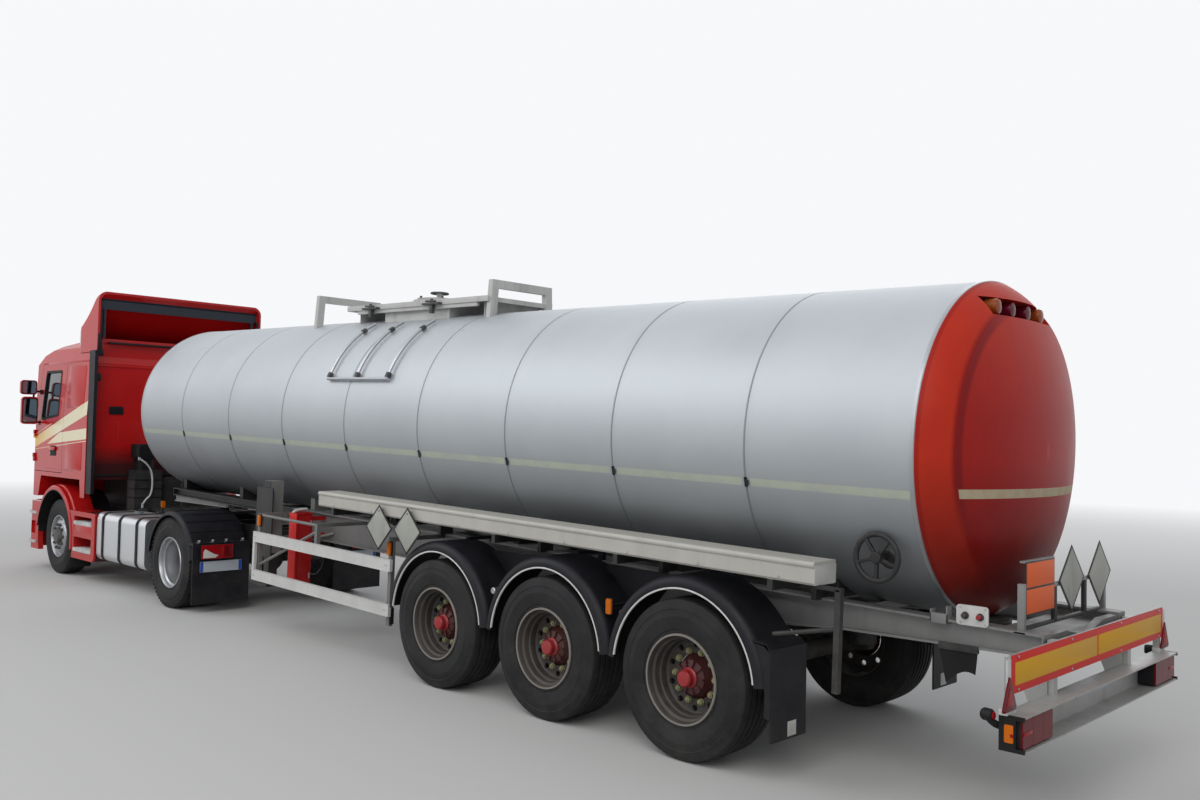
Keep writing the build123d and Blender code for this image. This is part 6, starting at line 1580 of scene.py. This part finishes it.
def add_beam_flaps():
    """The small curved rubber flaps under the rear ends of the beams, each on a bracket."""
    flaps = Piece("beam_flaps")
    bm = bmesh.new()
    rows = []
    steps = 8
    for n in range(steps + 1):
        t = n / steps
        x_top, z_top = -1.49 - 0.24 * t, 0.905 + 0.010 * t
        x_low, z_low = -1.54 - 0.18 * t, 0.695 + 0.070 * t + 0.035 * math.sin(math.pi * t)
        rows.append([bm.verts.new((x_top, 0.655, z_top)),
                     bm.verts.new((x_low, 0.668 - 0.02 * math.sin(math.pi * t), z_low))])
    for near, far in zip(rows, rows[1:]):
        skin(bm, near, far, closed=False)
    bmesh.ops.solidify(bm, geom=bm.faces[:], thickness=0.008)
    flaps.both(to_mesh(bm), "rubber")
    flaps.both(slab((-1.73, -1.49), (0.640, 0.666), (0.885, 0.925), 0.003), "black")
    return flaps.done("trailer", "black_plastic")


def add_boards():
    """The red and yellow marker board along the rear bumper, with the small plate under it."""
    boards = Piece("marker_boards")
    x = -2.156
    boards.add(tile((-1.215, 1.215), (0.822, 1.018), 0.006, x - 0.003, x, "X", 0.0008), "board_red")
    for y0, y1 in ((0.012, 1.170), (-1.170, -0.012)):
        inner = rounded((y0, y1), (0.862, 0.978), 0.006)
        boards.add(prism(inner, x - 0.005, x - 0.002, "X", 0.0008), "board_yellow")
    for y in (-1.13, -0.4, 0.4, 1.13):
        for z in (0.838, 1.004):
            boards.add(lying(0.007, (-0.006, 0.0), 8, 0.001), "steel", at(x - 0.002, y, z))
    boards.add(tile((-0.262, 0.262), (0.640, 0.712), 0.006, -2.136, -2.119, "X", 0.002), "plate_grey")
    for y in (-0.42, 0.42):
        boards.add(slab((-2.150, -2.119), (y - 0.02, y + 0.02), (0.690, 0.720), 0.004), "lens_clear")
    return boards.done("trailer", "lamp")


def add_trailer_lamps():
    """Lamp sets in the bumper's ends, reflectors, stalk lamps and the lamps in the dome's slot."""
    lamps = Piece("rear_lamps")
    # The bumper's end as a channel that is open to the rear
    end_cap = [
        (-2.2405, 0.5445), (-2.1095, 0.5445), (-2.1095, 0.7255), (-2.2405, 0.7255), (-2.2405, 0.7055),
        (-2.196, 0.7055), (-2.196, 0.5645), (-2.2405, 0.5645),
    ]
    lamps.both(prism(end_cap, 1.2365, 1.2515, "Y", 0.0), "rubber")
    lamps.both(tile((0.842, 1.232), (0.556, 0.714), 0.010, -2.214, -2.120, "X", 0.004), "plastic")
    for y in ((0.850, 0.972), (0.974, 1.104), (1.106, 1.230)):
        lamps.both(tile(y, (0.562, 0.708), 0.006, -2.226, -2.205, "X", 0.004), "lens_dark")
    lamps.both(tile((1.118, 1.222), (0.625, 0.645), 0.004, -2.2285, -2.224, "X", 0.001), "lens_red")
    lamps.both(tile((-2.186, -2.140), (0.590, 0.680), 0.006, 1.2505, 1.2575, "Y", 0.002), "lens_amber")
    lamps.both(disc(0.010, (1.256, 1.2605), 12, 0.002), "lens_red", at(-2.180, 0, 0.628))
    # Triangle reflector on its pale bracket
    triangle = [(1.160, 0.745), (1.330, 0.745), (1.245, 0.925)]
    lamps.both(prism(softened(triangle, 0.02), -2.166, -2.156, "X", 0.002), "lens_dark")
    lamps.both(prism(softened(shrunk(triangle, 0.55), 0.01), -2.168, -2.165, "X", 0.001), "lens_red")
    lamps.both(slab((-2.158, -2.150), (1.215, 1.262), (0.745, 1.000), 0.002), "tread")
    lamps.both(slab((-2.158, -2.112), (1.150, 1.262), (0.722, 0.752), 0.003), "tread")
    # Rubber stalk lamp ahead of the bumper's end
    stalk = [(-2.105, 1.20, 0.655), (-2.09, 1.245, 0.66), (-2.065, 1.262, 0.695)]
    lamps.both(pipe(stalk, 0.019), "rubber")
    head = lathe([(0.0, -0.030), (0.026, -0.029), (0.032, -0.020), (0.032, 0.018), (0.024, 0.030),
                  (0.0, 0.031)], 20, closed=False)
    lamps.both(head, "rubber", at(-2.060, 1.268, 0.715) @ turned(78, "Z"))
    lamps.both(lying(0.021, (-0.036, -0.026), 16, 0.004), "lens_red", at(-2.060, 1.268, 0.715))
    # Four lamps that stand out of the slot high in the dome
    slope = turned(-SLOPE, "Y")
    for y, finish in ((-0.320, "lens_brown"), (-0.115, "lens_wine"), (0.115, "lens_wine"),
                      (0.320, "lens_brown")):
        dome = [(0.049, 0.0), (0.049, 0.088), (0.043, 0.100), (0.020, 0.106), (0.0, 0.107)]
        shape = lathe(dome, 28, closed=False)
        turn = slope @ at(-1.5163, y, 2.9655) @ turned(90, "Z")
        lamps.add(shape, finish, turn)
        lamps.add(band((0.048, 0.0565), (0.0, 0.020), 28), "rubber", turn)
    return lamps.done("trailer", "lamp", GROUND, ("trailer_lamps",))


def add_outlet():
    """Bolts on the outlet's flange, its clamp ring and the valve's handwheel with its gland."""
    outlet = Piece("outlet_fittings")
    for n in range(8):
        angle = math.radians(45 * (n + 0.5))
        spot = at(-1.54 + 0.09 * math.cos(angle), 0.09 * math.sin(angle), 0.850)
        outlet.add(upright(0.014, (0.0, 0.012), 6, 0.001), "nut_dark", spot)
    outlet.add(upright(0.093, (0.96, 0.985), 32, 0.004), "cast", at(-1.54, 0, 0))
    # A thick rim over the handwheel, with its hub and the gland behind it
    rim = torus(0.137, 0.0165, 12, 48)
    spot = turned(-SLOPE, "Y") @ at(-1.205, 0.945, 1.441)
    outlet.add(rim, "cast", spot)
    outlet.add(disc(0.034, (-0.030, 0.026), 24, 0.005), "cast", spot)
    for n in range(5):
        spoke = slab((0.02, 0.135), (-0.012, 0.010), (-0.011, 0.011), 0.005)
        outlet.add(spoke, "cast", spot @ turned(90 + 72 * n, "Y"))
    outlet.add(disc(0.050, (-0.20, -0.09), 24, 0.006), "cast", spot)
    outlet.add(disc(0.080, (-0.21, -0.16), 28, 0.006), "cast", spot)
    return outlet.done("trailer", "cast")


# Seats, bunk, dash and steering wheel
def cushion(x, y, z, crown, seams=0):
    """A padded block: crowned faces, edges pulled in between round corners, with sewn channels."""
    size = Vector((x[1] - x[0], y[1] - y[0], z[1] - z[0]))
    middle = Vector((x[1] + x[0], y[1] + y[0], z[1] + z[0])) / 2
    bm = bmesh.new()
    bmesh.ops.create_cube(bm, size=1.0)
    bmesh.ops.subdivide_edges(bm, edges=bm.edges[:], cuts=11, use_grid_fill=True)
    for vertex in bm.verts:
        u = Vector(vertex.co) * 2
        power = 5.0
        norm = (abs(u.x) ** power + abs(u.y) ** power + abs(u.z) ** power) ** (1 / power)
        u = u / max(norm, 1e-6)
        bulge = 1 + crown * (1 - u.x * u.x) * (1 - u.y * u.y) if abs(u.z) > 0.6 else 1.0
        place = Vector((u.x * size.x / 2, u.y * size.y / 2, u.z * size.z / 2 * bulge))
        if seams and u.z > 0.5:
            across = math.sin(math.pi * (u.y + 1) / 2 * seams)
            place.z -= 0.008 * (1 - min(1, abs(across) * 4))
        vertex.co = place + middle
    return to_mesh(bm, 60)


def add_seats():
    """Padded seats on their bases, and the bunk's pad."""
    for side, y in (("left", 0.68), ("right", -0.68)):
        seat = Piece(f"seat_{side}")
        lean = at(11.47, y, 1.76) @ turned(-13, "Y")
        seat.add(cushion((-0.235, 0.235), (-0.235, 0.235), (-0.060, 0.065), 0.22, 4), "cloth",
                 at(11.71, y, 1.675))
        upright_pad = cushion((-0.055, 0.055), (-0.225, 0.225), (-0.02, 0.56), 0.0)
        seat.add(upright_pad, "cloth", lean)
        for k in (-1, 1):
            seat.add(cushion((-0.005, 0.075), (-0.035, 0.035), (0.05, 0.46), 0.0), "cloth",
                     lean @ at(0, k * 0.19, 0))
        seat.add(cushion((-0.045, 0.045), (-0.13, 0.13), (0.58, 0.76), 0.0), "cloth", lean)
        made = seat.done("cab", "trim", GROUND, ("cab_interior",) if side == "left" else ())
        base = Piece(f"seat_base_{side}")
        base.add(slab((11.60, 11.81), (y - 0.13, y + 0.13), (1.412, 1.60), 0.02), "plastic")
        base.add(slab((11.50, 11.93), (y - 0.21, y + 0.21), (1.585, 1.625), 0.012), "plastic")
        for k in (-0.05, 0.05):
            base.add(pipe([(0, k, 0.53), (0, k, 0.60)], 0.006, False), "steel", lean)
        base.done("cab", "black_plastic")
    bunk = Piece("bunk_pad")
    bunk.add(cushion((10.51, 11.04), (-0.985, 0.985), (1.86, 1.975), 0.10), "cloth")
    bunk.done("cab", "trim")


def add_dash():
    """Bunk base, dash, binnacle and the steering wheel."""
    inside = Piece("dash_and_wheel")
    inside.add(slab((10.505, 11.00), (-0.99, 0.99), (1.412, 1.85), 0.02), "plastic")
    board = [(12.335, 1.62), (12.345, 1.96), (12.43, 2.045), (12.60, 2.028), (12.60, 1.62)]
    inside.add(prism(softened(board, 0.04), -1.02, 1.02, "Y", 0.01), "plastic")
    binnacle = softened([(12.32, 1.93), (12.34, 2.052), (12.46, 2.056), (12.50, 1.96)], 0.03)
    inside.add(prism(binnacle, 0.47, 0.89, "Y", 0.012), "plastic")
    for y in (-0.75, -0.45, -0.05, 0.2):
        vent = tile((y - 0.07, y + 0.07), (1.84, 1.92), 0.012, 12.328, 12.345, "X", 0.003)
        inside.add(vent, "trim_grey")
    tilt = at(12.225, 0.68, 2.02) @ turned(60, "Y") @ turned(90, "X")
    inside.add(torus(0.212, 0.015, 12, 56), "rubber", tilt)
    inside.add(disc(0.062, (-0.02, 0.025), 28, 0.010), "rubber", tilt)
    for deg in (0, 180, 270):
        spoke = slab((0.05, 0.205), (-0.007, 0.007), (-0.018, 0.018), 0.004)
        inside.add(spoke, "rubber", tilt @ turned(deg, "Y"))
    inside.add(pipe([(12.23, 0.68, 2.01), (12.36, 0.68, 1.93)], 0.022, False), "rubber")
    inside.done("cab", "black_plastic")


PIECES = (
    add_door_trim, add_cab_trim, add_step_treads, add_arch_linings, add_tank_straps, add_tractor_lamps,
    add_number_plates, add_bumper_fittings, add_intake, add_tank_trim, add_top_fittings, add_lid_fittings,
    add_mudguard_trims, add_side_markers, add_guard_fittings, add_box_fittings, add_signs, add_beam_flaps,
    add_boards, add_trailer_lamps, add_outlet, add_seats, add_dash,
)
for add_piece in PIECES:
    add_piece()


# Floor, backdrop and light
BACKDROP = (0.93, 0.94, 0.96)


def add_floor():
    """A pale floor that fades into the backdrop's colour with distance, for what the camera or gloss sees."""
    make = Maker("floor")
    x, y, z = make.axes()
    far = ((x * x + y * y) ** 0.5).between(11.0, 34.0)
    paths = make.node("ShaderNodeLightPath", out="Is Camera Ray")
    outs = paths.socket.node.outputs
    seen = paths + Value(make, outs["Is Glossy Ray"]) + Value(make, outs["Is Transmission Ray"])
    glow = make.node("ShaderNodeEmission", {"Color": BACKDROP, "Strength": 1.0})
    make.done(base_color=(0.56, 0.555, 0.54), roughness=0.9)
    mixer = make.tree.nodes.new("ShaderNodeMixShader")
    make.put(mixer.inputs[0], far * seen.least(1.0))
    make.tree.links.new(make.surface.outputs[0], mixer.inputs[1])
    make.tree.links.new(glow.socket, mixer.inputs[2])
    make.tree.links.new(mixer.outputs[0], make.tree.nodes["Material Output"].inputs[0])
    mesh = bpy.data.meshes.new("floor")
    mesh.from_pydata([(-90, -90, 0), (90, -90, 0), (90, 90, 0), (-90, 90, 0)], [], [(0, 1, 2, 3)])
    mesh.materials.append(make.material)
    floor = bpy.data.objects.new("floor", mesh)
    bpy.context.scene.collection.objects.link(floor)


def add_world():
    world = bpy.data.worlds.new("studio")
    bpy.context.scene.world = world
    world.use_nodes = True
    tree = world.node_tree
    path = tree.nodes.new("ShaderNodeLightPath")
    light = tree.nodes["Background"]
    light.inputs["Color"].default_value = (0.93, 0.95, 1.0, 1)
    light.inputs["Strength"].default_value = 0.50
    plain = tree.nodes.new("ShaderNodeBackground")
    plain.inputs["Color"].default_value = (*BACKDROP, 1)
    plain.inputs["Strength"].default_value = 1.0
    seen = None
    for ray in ("Is Camera Ray", "Is Glossy Ray", "Is Transmission Ray"):
        if seen is None:
            seen = path.outputs[ray]
            continue
        both = tree.nodes.new("ShaderNodeMath")
        both.operation = "MAXIMUM"
        tree.links.new(seen, both.inputs[0])
        tree.links.new(path.outputs[ray], both.inputs[1])
        seen = both.outputs[0]
    mixer = tree.nodes.new("ShaderNodeMixShader")
    tree.links.new(seen, mixer.inputs[0])
    tree.links.new(light.outputs[0], mixer.inputs[1])
    tree.links.new(plain.outputs[0], mixer.inputs[2])
    tree.links.new(mixer.outputs[0], tree.nodes["World Output"].inputs[0])


# Lights: place, size across, power, colour
SOFT_LIGHTS = (
    ((-12, 14, 14), 14, 1500, (1.0, 0.99, 0.97)),
    ((8, 12, 12), 12, 900, (0.95, 0.98, 1.0)),
    ((4, -14, 12), 14, 560, (0.95, 0.98, 1.0)),
)


def add_lights():
    for n, (place, size, power, colour) in enumerate(SOFT_LIGHTS):
        data = bpy.data.lights.new(f"soft_light_{n}", "AREA")
        data.size = size
        data.energy = power
        data.color = colour
        lamp = bpy.data.objects.new(f"soft_light_{n}", data)
        lamp.location = place
        lamp.rotation_euler = (Vector((0, 0, 1.5)) - Vector(place)).to_track_quat("-Z", "Y").to_euler()
        bpy.context.scene.collection.objects.link(lamp)


add_floor()
add_world()
add_lights()
bpy.context.scene.view_settings.view_transform = "Standard"
